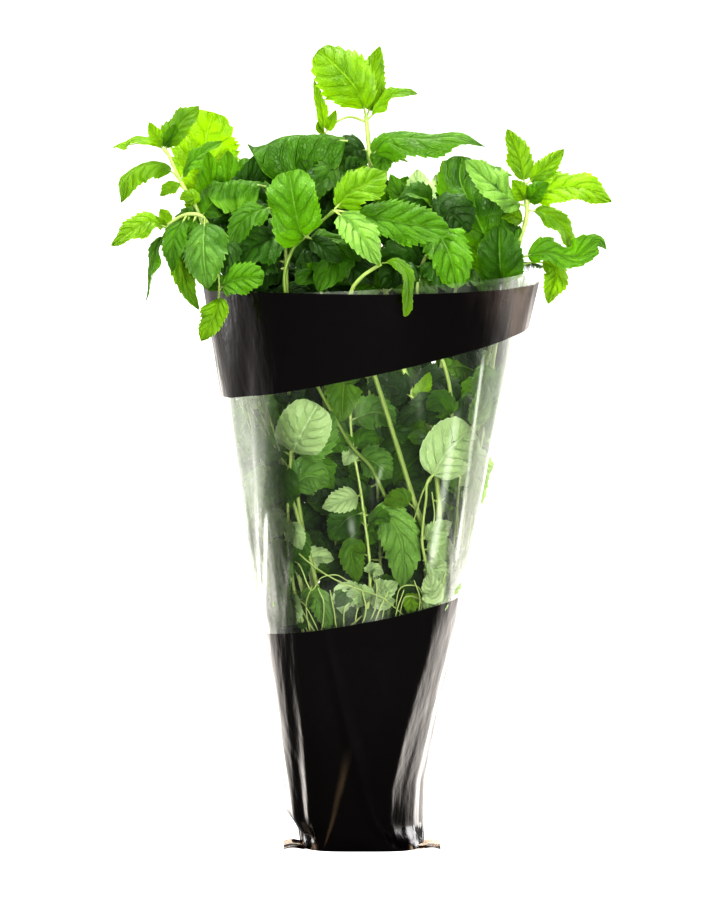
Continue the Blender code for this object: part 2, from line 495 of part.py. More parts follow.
def make_growing_medium():
    """The plug fills the pot and stands a little above its lip."""
    foot = SLEEVE_FLOOR + GAP + POT_WALL + GAP
    slope = (POT_RADIUS_TOP - POT_RADIUS_FOOT) / (POT_HEIGHT - POT_WALL)
    low = POT_RADIUS_FOOT - POT_WALL - GAP
    high = low + slope * (MEDIUM_TOP - MEDIUM_EDGE - foot)
    profile = [(0, foot), (low, foot), (high, MEDIUM_TOP - MEDIUM_EDGE), (high - MEDIUM_EDGE / 2, MEDIUM_TOP),
               (0, MEDIUM_TOP)]
    return turned("growing_medium", profile, material("growing_medium", (0.07, 0.045, 0.03), 0.95), corners=16)


def section_point(section, angle, inset):
    """A point of the sleeve's section, a rounded square low down and an ellipse at the mouth."""
    middle = (section.left + section.right) / 2
    half = (section.right - section.left) / 2 - inset
    power = 2 / section.squareness
    x = middle + half * math.copysign(abs(math.cos(angle)) ** power, math.cos(angle))
    y = (section.depth - inset) * math.copysign(abs(math.sin(angle)) ** power, math.sin(angle))
    return x, y


def sleeve_ring(section, inset, height, seam, ear=0.0):
    """One ring of the sleeve. Its side seams stand out by `seam`, and `ear` widens it beside them.

    On the inside, where `seam` is 0, the two sheets meet in a shallow groove along each seam.
    """
    tilt = SLEEVE_RIM_TILT * section.height / SLEEVE_HEIGHT
    ring = []
    for corner in range(SECTION_CORNERS):
        angle = math.tau * corner / SECTION_CORNERS
        x, y = section_point(section, angle, inset)
        on_seam = corner % (SECTION_CORNERS // 2) == 0
        near_seam = corner % (SECTION_CORNERS // 2) in (1, SECTION_CORNERS // 2 - 1)
        outward = math.copysign(1, math.cos(angle))
        half = (section.right - section.left) / 2
        lift = tilt * (x - (section.left + section.right) / 2) / half
        if on_seam:
            first = -outward * SEAM_THICKNESS / 2
            if seam > 0:
                corners = [(0, first), (seam, first), (seam, -first), (0, -first)]
            else:
                corners = [(-SLEEVE_WALL / 2, GROOVE_FLARE * first), (0, first), (0, -first),
                           (-SLEEVE_WALL / 2, -GROOVE_FLARE * first)]
            for reach, offset in corners:
                ring.append((x + outward * reach, y + offset, height + lift))
        elif near_seam and ear:
            ring.append((x + outward * ear, y, height + lift))
        else:
            ring.append((x, y, height + lift))
    return [Vector(point) * MM for point in ring]


def make_sleeve():
    """The film sleeve: flat foot with two sealed corners, straight tapering sides, open mouth."""
    foot, *sides = SLEEVE_SECTIONS
    rings = [sleeve_ring(foot, 0, 0.0, EAR_REACH, EAR_WIDENING),
             sleeve_ring(foot, 0, EAR_THICKNESS, EAR_REACH, EAR_WIDENING),
             sleeve_ring(foot, 0, EAR_THICKNESS + EAR_FADE, SEAM_REACH / 2)]
    rings += [sleeve_ring(section, 0, section.height, SEAM_REACH) for section in sides]
    rings += [sleeve_ring(section, SLEEVE_WALL, section.height, 0.0) for section in reversed(sides)]
    rings.append(sleeve_ring(foot, SLEEVE_WALL, SLEEVE_FLOOR, 0.0))
    return loft("sleeve", rings, material("clear_film", (0.9, 0.92, 0.9), 0.12, alpha=0.25))


def main():
    for old in list(bpy.data.objects):
        bpy.data.objects.remove(old)
    make_sleeve()
    make_pot()
    make_growing_medium()
    for spec in STEMS:
        make_stem(spec)
    for blade in ALL_LEAVES:
        make_leaf(blade)


main()
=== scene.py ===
"""The looks of a clump of water mint in a clear sleeve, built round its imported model.

Metres, +Z up. The origin is on the surface that the sleeve stands on, under the middle of the pot. +X is
to the right and -Y is towards the viewer.
"""

import math

import bpy
import numpy as np
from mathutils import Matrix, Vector


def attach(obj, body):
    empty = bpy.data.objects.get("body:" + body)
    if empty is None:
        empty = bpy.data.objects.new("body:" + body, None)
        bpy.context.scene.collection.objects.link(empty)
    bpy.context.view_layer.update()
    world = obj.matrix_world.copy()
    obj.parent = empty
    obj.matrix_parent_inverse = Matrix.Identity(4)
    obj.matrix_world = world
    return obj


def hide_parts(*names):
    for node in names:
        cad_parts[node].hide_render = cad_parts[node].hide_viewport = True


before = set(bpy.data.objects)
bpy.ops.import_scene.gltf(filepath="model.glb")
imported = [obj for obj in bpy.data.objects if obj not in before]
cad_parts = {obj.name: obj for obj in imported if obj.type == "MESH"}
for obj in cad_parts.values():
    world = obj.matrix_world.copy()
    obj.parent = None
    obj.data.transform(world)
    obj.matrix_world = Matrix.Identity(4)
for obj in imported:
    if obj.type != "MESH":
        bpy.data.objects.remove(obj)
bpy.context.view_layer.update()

# The view
# A long lens two metres in front of the plant and a little above it. The plant is irregular, so each of
# its points is given by where the photograph shows it, pixel across, pixel down and depth in millimetres
# behind the pot's axis, and this view turns that into a place.
MM = 0.001
VIEW_FROM = Vector((0.0, -2.0, 0.47))
VIEW_AIM = Vector((0.0016, 0.0, 0.209))
PIXELS_PER_METRE = 1900.0
PICTURE = (720, 900)
SENSOR = 36.0

view_forward = (VIEW_AIM - VIEW_FROM).normalized()
view_right = view_forward.cross(Vector((0, 0, 1))).normalized()
view_up = view_right.cross(view_forward)
focal_pixels = PIXELS_PER_METRE * (VIEW_AIM - VIEW_FROM).length

lens = bpy.data.cameras.new("photo_view")
lens.sensor_width = SENSOR
lens.lens = focal_pixels / PICTURE[1] * SENSOR
lens.clip_start = 0.1
lens.clip_end = 20
photo_view = bpy.data.objects.new("photo_view", lens)
photo_view.location = VIEW_FROM
photo_view.rotation_euler = view_forward.to_track_quat("-Z", "Y").to_euler()
bpy.context.scene.collection.objects.link(photo_view)
bpy.context.scene.camera = photo_view


def seen(point):
    """The place of a point given by its pixel and its depth in millimetres."""
    across, down, depth = point
    ray = view_forward + view_right * ((across - PICTURE[0] / 2) / focal_pixels)
    ray += view_up * ((PICTURE[1] / 2 - down) / focal_pixels)
    return np.array(VIEW_FROM + ray * ((depth * MM - VIEW_FROM.y) / ray.y))


# Pot and growing medium
# A small pot of pressed fibre holds a plug of moist, dark growing medium that the stems rise from. Both
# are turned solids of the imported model, and get their finish here.
class Wire:
    """One value on its way through a material. Arithmetic on it adds the nodes that work it out."""

    def __init__(self, paint, socket):
        self.paint = paint
        self.socket = socket

    def __add__(self, other):
        return self.paint.math("ADD", self, other)

    def __radd__(self, other):
        return self.paint.math("ADD", other, self)

    def __sub__(self, other):
        return self.paint.math("SUBTRACT", self, other)

    def __rsub__(self, other):
        return self.paint.math("SUBTRACT", other, self)

    def __mul__(self, other):
        return self.paint.math("MULTIPLY", self, other)

    def __rmul__(self, other):
        return self.paint.math("MULTIPLY", other, self)

    def __truediv__(self, other):
        return self.paint.math("DIVIDE", self, other)

    def __pow__(self, other):
        return self.paint.math("POWER", self, other)

    def __abs__(self):
        return self.paint.math("ABSOLUTE", self)


class Paint:
    """One material, or the world round the plant, built node by node."""

    def __init__(self, name, kept_in=bpy.data.materials):
        self.made = kept_in.new(name)
        self.made.use_nodes = True
        self.nodes = self.made.node_tree.nodes
        self.links = self.made.node_tree.links
        self.nodes.clear()

    def node(self, kind, settings=None, values=None, output=0):
        """Adds a node, its settings first and then the values or links of its sockets."""
        made = self.nodes.new(kind)
        for key, value in (settings or {}).items():
            setattr(made, key, value)
        for key, value in (values or {}).items():
            if isinstance(value, Wire):
                self.links.new(value.socket, made.inputs[key])
            else:
                made.inputs[key].default_value = value
        return Wire(self, made.outputs[output]) if made.outputs else None

    def math(self, operation, *numbers, clamp=False):
        settings = {"operation": operation, "use_clamp": clamp}
        return self.node("ShaderNodeMath", settings, dict(enumerate(numbers)))

    def step(self, value, low, high):
        """0 below `low` and 1 above `high`, with a smooth rise between them."""
        return self.node("ShaderNodeMapRange", {"interpolation_type": "SMOOTHSTEP"},
                         {0: value, 1: low, 2: high, 3: 0.0, 4: 1.0})

    def mix(self, share, first, second):
        """Two colours mixed. A colour is a wire or three numbers."""
        first, second = ((*c, 1.0) if isinstance(c, tuple) else c for c in (first, second))
        return self.node("ShaderNodeMix", {"data_type": "RGBA"}, {0: share, 6: first, 7: second}, output=2)

    def place(self):
        return self.node("ShaderNodeTexCoord", output="Object")

    def noise(self, scale, detail=3.0, vector=None, stretch=None):
        """Cloudy values from 0 to 1, `scale` to the metre, squeezed along the axes by `stretch`."""
        vector = vector or self.place()
        if stretch:
            vector = self.node("ShaderNodeVectorMath", {"operation": "MULTIPLY"}, {0: vector, 1: stretch})
        return self.node("ShaderNodeTexNoise", None, {"Vector": vector, "Scale": scale, "Detail": detail})

    def bump(self, height, distance, strength=1.0):
        values = {"Height": height, "Distance": distance, "Strength": strength}
        return self.node("ShaderNodeBump", None, values)

    def axes(self, vector, wanted="XYZ"):
        """The single numbers of a vector."""
        return [self.node("ShaderNodeSeparateXYZ", None, {0: vector}, output=axis) for axis in wanted]

    def blend(self, share, first, second):
        """Two shaders mixed."""
        return self.node("ShaderNodeMixShader", None, {0: share, 1: first, 2: second})

    def principled(self, **values):
        named = {key.replace("_", " "): value for key, value in values.items()}
        named["Specular IOR Level"] = named.pop("Specular", 0.5)
        if isinstance(named.get("Base Color"), tuple):
            named["Base Color"] = (*named["Base Color"], 1.0)
        return self.node("ShaderNodeBsdfPrincipled", None, named)

    def finish(self, shader, output="ShaderNodeOutputMaterial"):
        """Ends the nodes in this shader and hands over what they make up."""
        self.node(output, None, {"Surface": shader})
        return self.made


paint = Paint("pressed_fibre")
fibres = paint.noise(900.0, 6.0, stretch=(1.0, 1.0, 0.25))
clouds = paint.noise(60.0)
color = paint.mix(fibres * clouds * 1.6, (0.07, 0.038, 0.02), (0.30, 0.19, 0.10))
pressed_fibre = paint.finish(paint.principled(Base_Color=color, Roughness=0.9, Specular=0.2,
                                              Normal=paint.bump(fibres, 0.0006)))

paint = Paint("moist_medium")
crumbs = paint.node("ShaderNodeTexVoronoi", None, {"Vector": paint.place(), "Scale": 420.0})
grit = paint.noise(1500.0, 4.0)
color = paint.mix(paint.step(grit, 0.45, 0.75), (0.012, 0.007, 0.004), (0.10, 0.062, 0.035))
moist_medium = paint.finish(paint.principled(Base_Color=color, Roughness=0.75, Specular=0.4,
                                             Normal=paint.bump(crumbs + grit * 0.5, 0.0015)))

for node_name, finish in (("pot", pressed_fibre), ("growing_medium", moist_medium)):
    for material_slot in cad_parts[node_name].material_slots:
        material_slot.material = finish

# How mint grows
# Square stems with leaves in opposite pairs, each pair turned a quarter from the last. A leaf is a thin
# blade on a short stalk: toothed margin, sunken veins with the skin puffed up between them, and a midrib
# that stands out below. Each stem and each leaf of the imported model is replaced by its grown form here.
STEM_ROOT_HEIGHT = 63.35 * MM
STEM_FOOT = 6 * MM
STALK_RADIUS = 0.62 * MM
NODE_SWELLING = 0.18
NODE_LENGTH = 2.5 * MM
VEIN_PAIRS = 5.5
VEIN_SLANT = 1.7  # how many veins further towards the tip a side vein reaches the margin
VEIN_BEND = 1.25
CELLS_ALONG = 26.0  # fine cells of skin from the stalk to the tip, and from the midrib to the margin
CELLS_ACROSS = 11.0
LEAF_ROUGHNESS = 0.53
TOOTH_ROWS = 5
TOOTH_CROWDING = 1.1  # above 1 the teeth are closer at the stalk
TOOTH_LEAN = 0.6  # how far the teeth point to the tip
WAVES_ALONG = 2.3  # waves of the margin that both halves share, and those that they don't
WAVES_OPPOSED = 1.6
MIDRIB_DEPTH = 0.02  # the hollow over the midrib, as shares of the leaf's width and half width
MIDRIB_SPREAD = 0.08
TIP_LEAF = {"teeth": 9, "columns": 11}  # smaller leaves need fewer teeth and points
PAIRED_LEAF = {"teeth": 8, "columns": 9}
FORWARD = (0, -1, 0.2)  # the ways that most leaves face
SLANTING = (0, -0.9, 0.5)
LEVEL = (0, -0.8, 0.6)


def leaf_tissue(name, shaded, lit, vein, glow, share=0.26):
    """Living leaf: green that varies with growth, paler veins and margin, light coming through from behind.

    The mesh gives each point its place on the leaf: along, across and a shade of its own. That shade is
    painted light, from the shaded green to the lit one.
    """
    paint = Paint(name)
    lay = paint.node("ShaderNodeAttribute", {"attribute_name": "lay"}, output="Vector")
    along, across, shade = paint.axes(lay)
    out = abs(across)
    wander = paint.noise(110.0, 2.0) - 0.5
    vein_count = along * VEIN_PAIRS - out**VEIN_BEND * VEIN_SLANT + wander * 0.8
    off_vein = abs(paint.math("FRACT", vein_count) - 0.5)
    inner = paint.step(out, 1.0, 0.6)
    midrib = paint.step(out, 0.04, 0.01)
    drawn = paint.math("MAXIMUM", paint.step(off_vein, 0.455, 0.495) * inner * 0.55, midrib)
    grooves = paint.math("MAXIMUM", paint.step(off_vein, 0.38, 0.48) * inner, paint.step(out, 0.14, 0.03))
    cell_place = {0: along * CELLS_ALONG, 1: across * CELLS_ACROSS, 2: shade * 7.0}
    cells = paint.node("ShaderNodeTexVoronoi", {"feature": "DISTANCE_TO_EDGE"},
                       {"Vector": paint.node("ShaderNodeCombineXYZ", None, cell_place), "Scale": 1.0})
    netting = paint.step(cells, 0.16, 0.0)
    growth = paint.noise(80.0, 4.0)
    blotch = paint.noise(260.0, 2.0)
    patches = (growth - 0.5) * 1.1 + (blotch - 0.5) * 0.5 + 0.1
    # Painted light and shade: the leaf's shade, varied by growth and blotches, mixes its shaded and lit
    # greens.
    color = paint.mix(paint.math("ADD", shade, patches, clamp=True), shaded, lit)
    # Painted shade: the sunken veins and the fine netting darken towards the shaded green.
    color = paint.mix(paint.math("MAXIMUM", grooves * 0.42, netting * 0.3), color, shaded)
    color = paint.mix(drawn * 0.34, color, vein)
    # Painted highlight: a paler rim along the margin.
    color = paint.mix(paint.step(out, 0.95, 1.0) * 0.4, color, vein)
    height = growth * 0.5 + blotch * 0.3 - netting * 0.18 - grooves * 0.65 + drawn * 0.3
    normal = paint.bump(height, 0.0011, 0.9)
    rough = LEAF_ROUGHNESS + (growth - 0.5) * 0.25 + netting * 0.2
    skin = paint.principled(Base_Color=color, Roughness=rough, Specular=0.48, Normal=normal)
    through = paint.node("ShaderNodeBsdfTranslucent", None, {"Color": (*glow, 1.0), "Normal": normal})
    return paint.finish(paint.blend(share, skin, through))


# Each tissue: a painted shaded green, a painted lit green, vein and glow colours. The deep tissue paints
# the shade among the inner leaves.
TISSUE = {
    "bright": leaf_tissue("leaf_bright", (0.045, 0.12, 0.0005), (0.205, 0.36, 0.002), (0.42, 0.58, 0.04),
                          (0.50, 0.80, 0.005)),
    "mid": leaf_tissue("leaf_green", (0.012, 0.05, 0.0005), (0.095, 0.225, 0.003), (0.21, 0.38, 0.04),
                       (0.27, 0.55, 0.005)),
    "deep": leaf_tissue("leaf_deep", (0.004, 0.018, 0.0003), (0.03, 0.09, 0.001), (0.07, 0.16, 0.012),
                        (0.08, 0.24, 0.002), share=0.18),
    "cool": leaf_tissue("leaf_cool", (0.05, 0.13, 0.012), (0.22, 0.38, 0.08), (0.36, 0.52, 0.17),
                        (0.32, 0.56, 0.05)),
    "pale": leaf_tissue("leaf_pale", (0.31, 0.43, 0.19), (0.48, 0.60, 0.31), (0.68, 0.78, 0.54),
                        (0.46, 0.62, 0.2)),
}

paint = Paint("stem_skin")
stem_lay = paint.node("ShaderNodeAttribute", {"attribute_name": "lay"}, output="Vector")
streaks = paint.noise(1.0, 5.0, vector=stem_lay, stretch=(14.0, 5.0, 3.0))
stem_shade = paint.axes(stem_lay, "Z")[0]
# Painted light and shade: each stem's shade, streaked along its length, mixes a shaded and a lit green.
color = paint.mix(paint.math("ADD", stem_shade, (streaks - 0.5) * 0.8, clamp=True),
                  (0.12, 0.18, 0.035), (0.40, 0.48, 0.18))
stem_core = paint.principled(Base_Color=color, Roughness=0.45, Specular=0.4,
                             Normal=paint.bump(streaks, 0.0004, 0.6))
stem_glow = paint.node("ShaderNodeBsdfTranslucent", None, {"Color": (0.55, 0.72, 0.2, 1.0)})
stem_skin = paint.finish(paint.blend(0.2, stem_core, stem_glow))


class Growth:
    """The mesh of one piece of plant, gathered part by part."""

    def __init__(self):
        self.points = []
        self.faces = []
        self.lay = []
        self.skins = []
        self.count = 0

    def grid(self, points, lay, skin, wrap=False):
        """Adds rows of points joined into a sheet, or into a tube if `wrap`."""
        rows, columns = points.shape[:2]
        first = self.count + np.arange(rows * columns).reshape(rows, columns)
        last = columns if wrap else columns - 1
        right = np.roll(first, -1, axis=1)
        quads = np.stack([first[:-1, :last], right[:-1, :last], right[1:, :last], first[1:, :last]],
                         axis=-1)
        self.faces.append(quads.reshape(-1, 4))
        self.skins.append(np.full(len(self.faces[-1]), skin))
        self.points.append(points.reshape(-1, 3))
        self.lay.append(lay.reshape(-1, 3))
        self.count += rows * columns

    def piece(self, name, finishes=None):
        """The finished piece, riding on the root body, with only the finishes that it wears."""
        points, faces = np.concatenate(self.points), np.concatenate(self.faces)
        painted_crease_sheen, skins = np.unique(np.concatenate(self.skins), return_inverse=True)
        mesh = bpy.data.meshes.new(name)
        mesh.from_pydata(points.tolist(), [], faces.tolist())
        for number in painted_crease_sheen:
            mesh.materials.append(finishes[number] if finishes else TISSUE[SKINS[number]])
        mesh.polygons.foreach_set("material_index", skins.astype(np.int32))
        lay = mesh.attributes.new("lay", "FLOAT_VECTOR", "POINT")
        lay.data.foreach_set("vector", np.concatenate(self.lay).astype(np.float32).ravel())
        mesh.shade_smooth()
        mesh.update()
        made = bpy.data.objects.new(name, mesh)
        bpy.context.scene.collection.objects.link(made)
        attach(made, "root")
        return made


def unit(rows):
    return rows / np.maximum(np.linalg.norm(rows, axis=-1, keepdims=True), 1e-9)


def ridge(place, middle, width):
    return np.exp(-(((place - middle) / width) ** 2))


def walk(path):
    """The way walked from the start of a path to each of its points."""
    return np.concatenate([[0], np.cumsum(np.linalg.norm(np.diff(path, axis=0), axis=1))])


def walked_to(share, path, walked):
    """The places at these shares of a path's length."""
    return np.stack([np.interp(share * walked[-1], walked, path[:, axis]) for axis in range(3)], axis=-1)


def tube(growth, path, radii, shade, around=8):
    """A square stem with rounded corners, or a round stalk with fewer points around."""
    forward = unit(np.gradient(path, axis=0))
    side = np.array([1.0, 0.0, 0.0])
    rings = []
    for spot, ahead, radius in zip(path, forward, radii):
        side = unit(side - ahead * side.dot(ahead))
        angles = np.arange(around) * math.tau / around
        reach = radius * np.where(np.arange(around) % 2 == 0, 1.0, 0.8 if around == 8 else 1.0)
        rings.append(spot + reach[:, None] * (np.cos(angles)[:, None] * side
                                              + np.sin(angles)[:, None] * np.cross(ahead, side)))
    lay = np.zeros((len(path), around, 3))
    lay[..., 0] = walk(path)[:, None] * 10
    lay[..., 1] = np.arange(around) / around
    lay[..., 2] = shade
    growth.grid(np.array(rings), lay, STEM_SKIN, wrap=True)


def smooth_path(points, steps):
    """Catmull-Rom points through the given ones."""
    points = np.array(points)
    ends = np.concatenate([[2 * points[0] - points[1]], points, [2 * points[-1] - points[-2]]])
    t = (np.arange(steps) / steps)[:, None]
    path = []
    for a, b, c, d in zip(ends, ends[1:], ends[2:], ends[3:]):
        path.append(0.5 * (2 * b + (c - a) * t + (2 * a - 5 * b + 4 * c - d) * t**2
                           + (3 * b - a - 3 * c + d) * t**3))
    return np.concatenate([*path, points[-1:]])


def leaf_outline(along, shoulder, roundness):
    """0 at both ends of the blade and 1 where it is broadest."""
    broadest = shoulder / (shoulder + roundness)
    peak = broadest**shoulder * (1 - broadest) ** roundness
    return np.clip(along, 0, 1) ** shoulder * np.clip(1 - along, 0, 1) ** roundness / peak


def leaf(growth, start, via, tip, width, facing, fold=20, droop=0.28, twist=0, petiole=0.1, shoulder=0.52,
         roundness=0.85, teeth=11, bite=0.18, puff=0.065, wave=0.15, phase=0.0, shade=0.5, skin=0,
         columns=15, lean=0.0, placed=False):
    """One leaf from its stem through `via` to its tip, its width in millimetres.

    `via` is one point or a list of them, and `facing` one direction or a pair, at the stem and at the tip.
    With `lean` the midrib's mark lies off the crest of a draped leaf.
    """
    route = [start, *(via if isinstance(via, list) else [via]), tip]
    if not placed:
        route = [seen(point) for point in route]
    midrib = smooth_path(route, 12)
    walked = walk(midrib)
    facing = np.array(facing if isinstance(facing, list) else [facing, facing], float)
    phase += route[0][0] * 40 + route[-1][2] * 30
    width = width * MM

    def frame_at(place):
        t = place[:, None]
        spot, a_little_on = (walked_to(share, midrib, walked) for share in (place, place + 0.02))
        ahead = unit(np.where(t < 0.98, a_little_on - spot, midrib[-1] - midrib[-2]))
        looking = unit(facing[0] * (1 - t) + facing[1] * t)
        normal = unit(looking - ahead * (looking * ahead).sum(1, keepdims=True))
        turn = np.radians(twist) * t
        normal = normal * np.cos(turn) + np.cross(ahead, normal) * np.sin(turn)
        return spot, ahead, normal, np.cross(ahead, normal)

    on = np.linspace(0, 1, teeth * TOOTH_ROWS + 1) ** TOOTH_CROWDING
    spot, ahead, normal, side = frame_at(petiole + (1 - petiole) * on)
    opened = leaf_outline(on, shoulder, roundness)[:, None]
    half = width / 2 * opened
    saw = ((on * teeth) % 1.0)[:, None]
    v = np.linspace(-1, 1, columns)
    out = np.abs(v)
    margin = (out > 0.99).astype(float)
    reach = half * (1 + (saw - 0.45) * bite * np.clip(opened * 1.6, 0, 1) * margin)
    angle = np.radians(fold) * np.minimum(opened, 1)
    rise = reach * out * np.sin(angle) - droop * opened * half * v**2
    vein = on[:, None] * VEIN_PAIRS - out**VEIN_BEND * VEIN_SLANT
    between = np.abs(np.sin(np.pi * vein)) ** 0.7
    rise += puff * width * between * (1 - out**5) * np.minimum(1, out * 5) * opened
    rise -= MIDRIB_DEPTH * width * ridge(v, 0.0, MIDRIB_SPREAD) * opened
    ripple = np.sin(math.tau * (WAVES_ALONG * on + phase))[:, None] * v**2
    ripple += np.sin(math.tau * (WAVES_OPPOSED * on + 2 * phase))[:, None] * v**3
    rise += wave * half * ripple
    points = (spot[:, None] + side[:, None] * (reach * v * np.cos(angle))[..., None]
              + normal[:, None] * rise[..., None])
    points += ahead[:, None] * (margin * (saw - 0.3) * bite * TOOTH_LEAN * half)[..., None]
    marked = v + lean * (1 - v**2)
    lay = np.stack(np.broadcast_arrays(on[:, None], marked[None], np.array(shade)), axis=-1)
    growth.grid(points, lay, skin)

    under_blade = petiole + (1 - petiole) * np.linspace(0, 0.97, 12)
    place = np.concatenate([np.linspace(0, petiole, 5)[:-1], under_blade])
    spot, _, normal, _ = frame_at(place)
    stoutness = min(1.0, 0.45 + width / 0.03)
    radii = STALK_RADIUS * np.interp(place, [0, petiole, 1], [1.15, 0.9, 0.2]) * stoutness
    sunk = np.interp(place, [0, petiole, petiole + 0.1, 1], [0, 0.5, 1.3, 1.5]) * radii
    sunk += 0.024 * width * leaf_outline((place - petiole) / (1 - petiole), shoulder, roundness)
    tube(growth, spot - normal * sunk[:, None], radii, min(1.0, shade * 0.5 + 0.35), around=6)


SKINS = [*TISSUE, "stem"]
STEM_SKIN = SKINS.index("stem")
TISSUE["stem"] = stem_skin


def leaf_piece(name, start, via, tip, width, facing, tissue="mid", **form):
    """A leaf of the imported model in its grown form."""
    growth = Growth()
    leaf(growth, start, via, tip, width, facing, skin=SKINS.index(tissue), **form)
    made = growth.piece(name + "_blade")
    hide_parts(name)


def climbing(first, last, count, length, width, turn, *tissues):
    """Opposite pairs of leaves between two shares of a stem's length, each a quarter turn from the last."""
    shares = np.linspace(first, last, count)
    return [(share, length * (1 - 0.12 * (number % 3)), width * (1 - 0.1 * (number % 2)),
             turn + 90 * number, tissues[number % len(tissues)]) for number, share in enumerate(shares)]


def stem_piece(name, root, path, radius=1.3, shoots=(), leaves=(), pairs=(), shade=0.55, shoot_radius=0.9):
    """A stem with the shoots and leaves that are one piece with it.

    Its root is in millimetres and its path has seen points. A leaf is its tissue, start, via, tip, width,
    facing and shade, and any form of its own. `pairs` adds opposite leaves along the stem.
    """
    growth = Growth()
    foot = np.array([root[0] * MM, root[1] * MM, STEM_ROOT_HEIGHT])
    bend = smooth_path([foot + [0, 0, STEM_FOOT]] + [seen(point) for point in path], 7)
    line = np.concatenate([[foot], bend])
    walked = walk(line)
    radii = radius * MM * (1 - walked / walked[-1] / 3)
    for _, start, *_ in leaves:
        off_node = np.linalg.norm(line - seen(start), axis=1)
        radii = radii * (1 + NODE_SWELLING * ridge(off_node, 0.0, NODE_LENGTH))
    tube(growth, line, radii, shade)
    for shoot in shoots:
        points = smooth_path([seen(point) for point in shoot], 6)
        tube(growth, points, np.linspace(1.0, 0.65, len(points)) * shoot_radius * MM, shade)
    for tissue, start, via, tip, width, facing, tone, *form in leaves:
        look = {"skin": SKINS.index(tissue), "shade": tone, **TIP_LEAF}
        look.update(*form)
        leaf(growth, start, via, tip, width, facing, **look)
    for number, (share, length, width, turn, tissue) in enumerate(pairs):
        spot = walked_to(share, line, walked)
        for side in (0, 180):
            heading = math.radians(turn + side)
            out = np.array([math.cos(heading), math.sin(heading), 0.0])
            hang = 0.2 - 0.45 * ((number * 2 + side // 180) % 3) / 2
            via = kept_inside(spot + out * length * 0.5 * MM + [0, 0, length * 0.26 * MM], width * 0.45)
            tip = kept_inside(spot + out * length * 0.92 * MM + [0, 0, length * hang * MM], width * 0.3)
            leaf(growth, spot, via, tip, width, (0.3 * out[0], -0.85, 0.6), skin=SKINS.index(tissue),
                 shade=0.2 + 0.18 * ((number * 3 + side) % 4), phase=share, placed=True, **PAIRED_LEAF)
    made = growth.piece(name + "_grown")
    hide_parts(name)


# The sleeve at each height, in millimetres: height, left edge, right edge, half depth and squareness
SLEEVE_SECTIONS = np.array([
    (0.0, -30.0, 35.5, 31.0, 4.0),
    (7.0, -31.5, 36.0, 32.5, 3.4),
    (16.0, -38.0, 36.5, 34.0, 2.7),
    (34.0, -40.5, 37.5, 37.0, 2.5),
    (110.0, -51.5, 54.0, 48.5, 2.3),
    (301.0, -80.5, 97.0, 84.0, 2.0),
])
FILM_CLEARANCE = 0.93


def sleeve_section(height):
    return [np.interp(height, SLEEVE_SECTIONS[:, 0], SLEEVE_SECTIONS[:, column]) for column in range(1, 5)]


def kept_inside(spot, room=0.0):
    """The place moved in, if need be, so that a leaf keeps this room in millimetres inside the film."""
    left, right, depth, squareness = sleeve_section(spot[2] / MM)
    middle, half, depth = (left + right) / 2, (right - left) / 2 - room, depth - room
    x, y = spot[0] / MM - middle, spot[1] / MM
    reach = (abs(x / half) ** squareness + abs(y / depth) ** squareness) ** (1 / squareness)
    if reach <= FILM_CLEARANCE:
        return spot
    return np.array([(middle + x * FILM_CLEARANCE / reach) * MM, y * FILM_CLEARANCE / reach * MM, spot[2]])


# Top sprig
# The tallest stem, with a side shoot to the left. Its youngest leaves are bright and thin, and light comes
# through them.
stem_piece(
    "top_sprig_stem", (14, -3),
    [(436, 560, -12), (431, 437, -16), (414, 399, -16), (393, 330, -6), (378, 240, 8), (371, 168, 12),
     (368, 137, 12), (366, 116, 11)],
    radius=1.8,
    shoots=[[(367, 122, 12), (349, 117, 14), (332, 125, 15), (324, 135, 16)]],
    leaves=[("bright", (324, 134, 16), [(322, 112, 14), (318, 96, 12)], (314, 80, 14), 7,
             (0.5, -1, 0), 0.5),
            ("bright", (326, 132, 16), (331, 122, 12), (336, 110, 12), 6, FORWARD, 0.5),
            ("bright", (325, 134, 16), (319, 128, 12), (318, 121, 10), 4, FORWARD, 0.5),
            ("mid", (371, 168, 12), (382, 158, 4), (379, 178, -2), 12, (0.3, -0.8, 0.5), 0.5),
            ("mid", (377, 226, 8), (396, 200, 0), (408, 176, -4), 20, (0.2, -0.9, 0.4), 0.35),
            ("deep", (377, 232, 8), (404, 200, 6), (438, 206, 4), 28, LEVEL, 0.5),
            ("deep", (384, 276, 3), (412, 258, -6), (440, 270, -10), 26, LEVEL, 0.5),
            ("deep", (380, 250, 7), (400, 232, 0), (420, 246, -6), 26, (0, -0.9, 0.4), 0.5),
            ("deep", (374, 196, 11), (350, 184, 16), (326, 204, 18), 26, LEVEL, 0.5),
            ("deep", (376, 214, 9), (354, 206, 4), (332, 226, 0), 26, SLANTING, 0.5),
            ("bright", (415, 402, -16), (424, 386, -22), (430, 372, -24), 9, (0.1, -1, 0), 0.4)],
    pairs=climbing(0.2, 0.72, 7, 32, 21, 20, "mid", "deep", "deep"), shade=0.75)
leaf_piece("top_leaf_broad", (366, 116, 10), [(361, 98, 4), (348, 78, 0)], (318, 50, 8), 29,
           (0.05, -1, 0.25), "bright", fold=-8, shoulder=0.46, roundness=0.46, shade=0.35, teeth=10,
           puff=0.06, wave=0.14)
leaf_piece("top_leaf_pointed", (367, 117, 14), [(372, 98, 18), (373, 72, 20)], (380, 46, 20), 15,
           (0.2, -1, 0.1), "bright", shade=0.2, twist=-20)
leaf_piece("top_leaf_small", (368, 119, 8), [(388, 98, 2), (403, 92, 0)], (418, 94, 2), 14, (0, -0.6, 1),
           "bright", shade=0.35, wave=0.16)
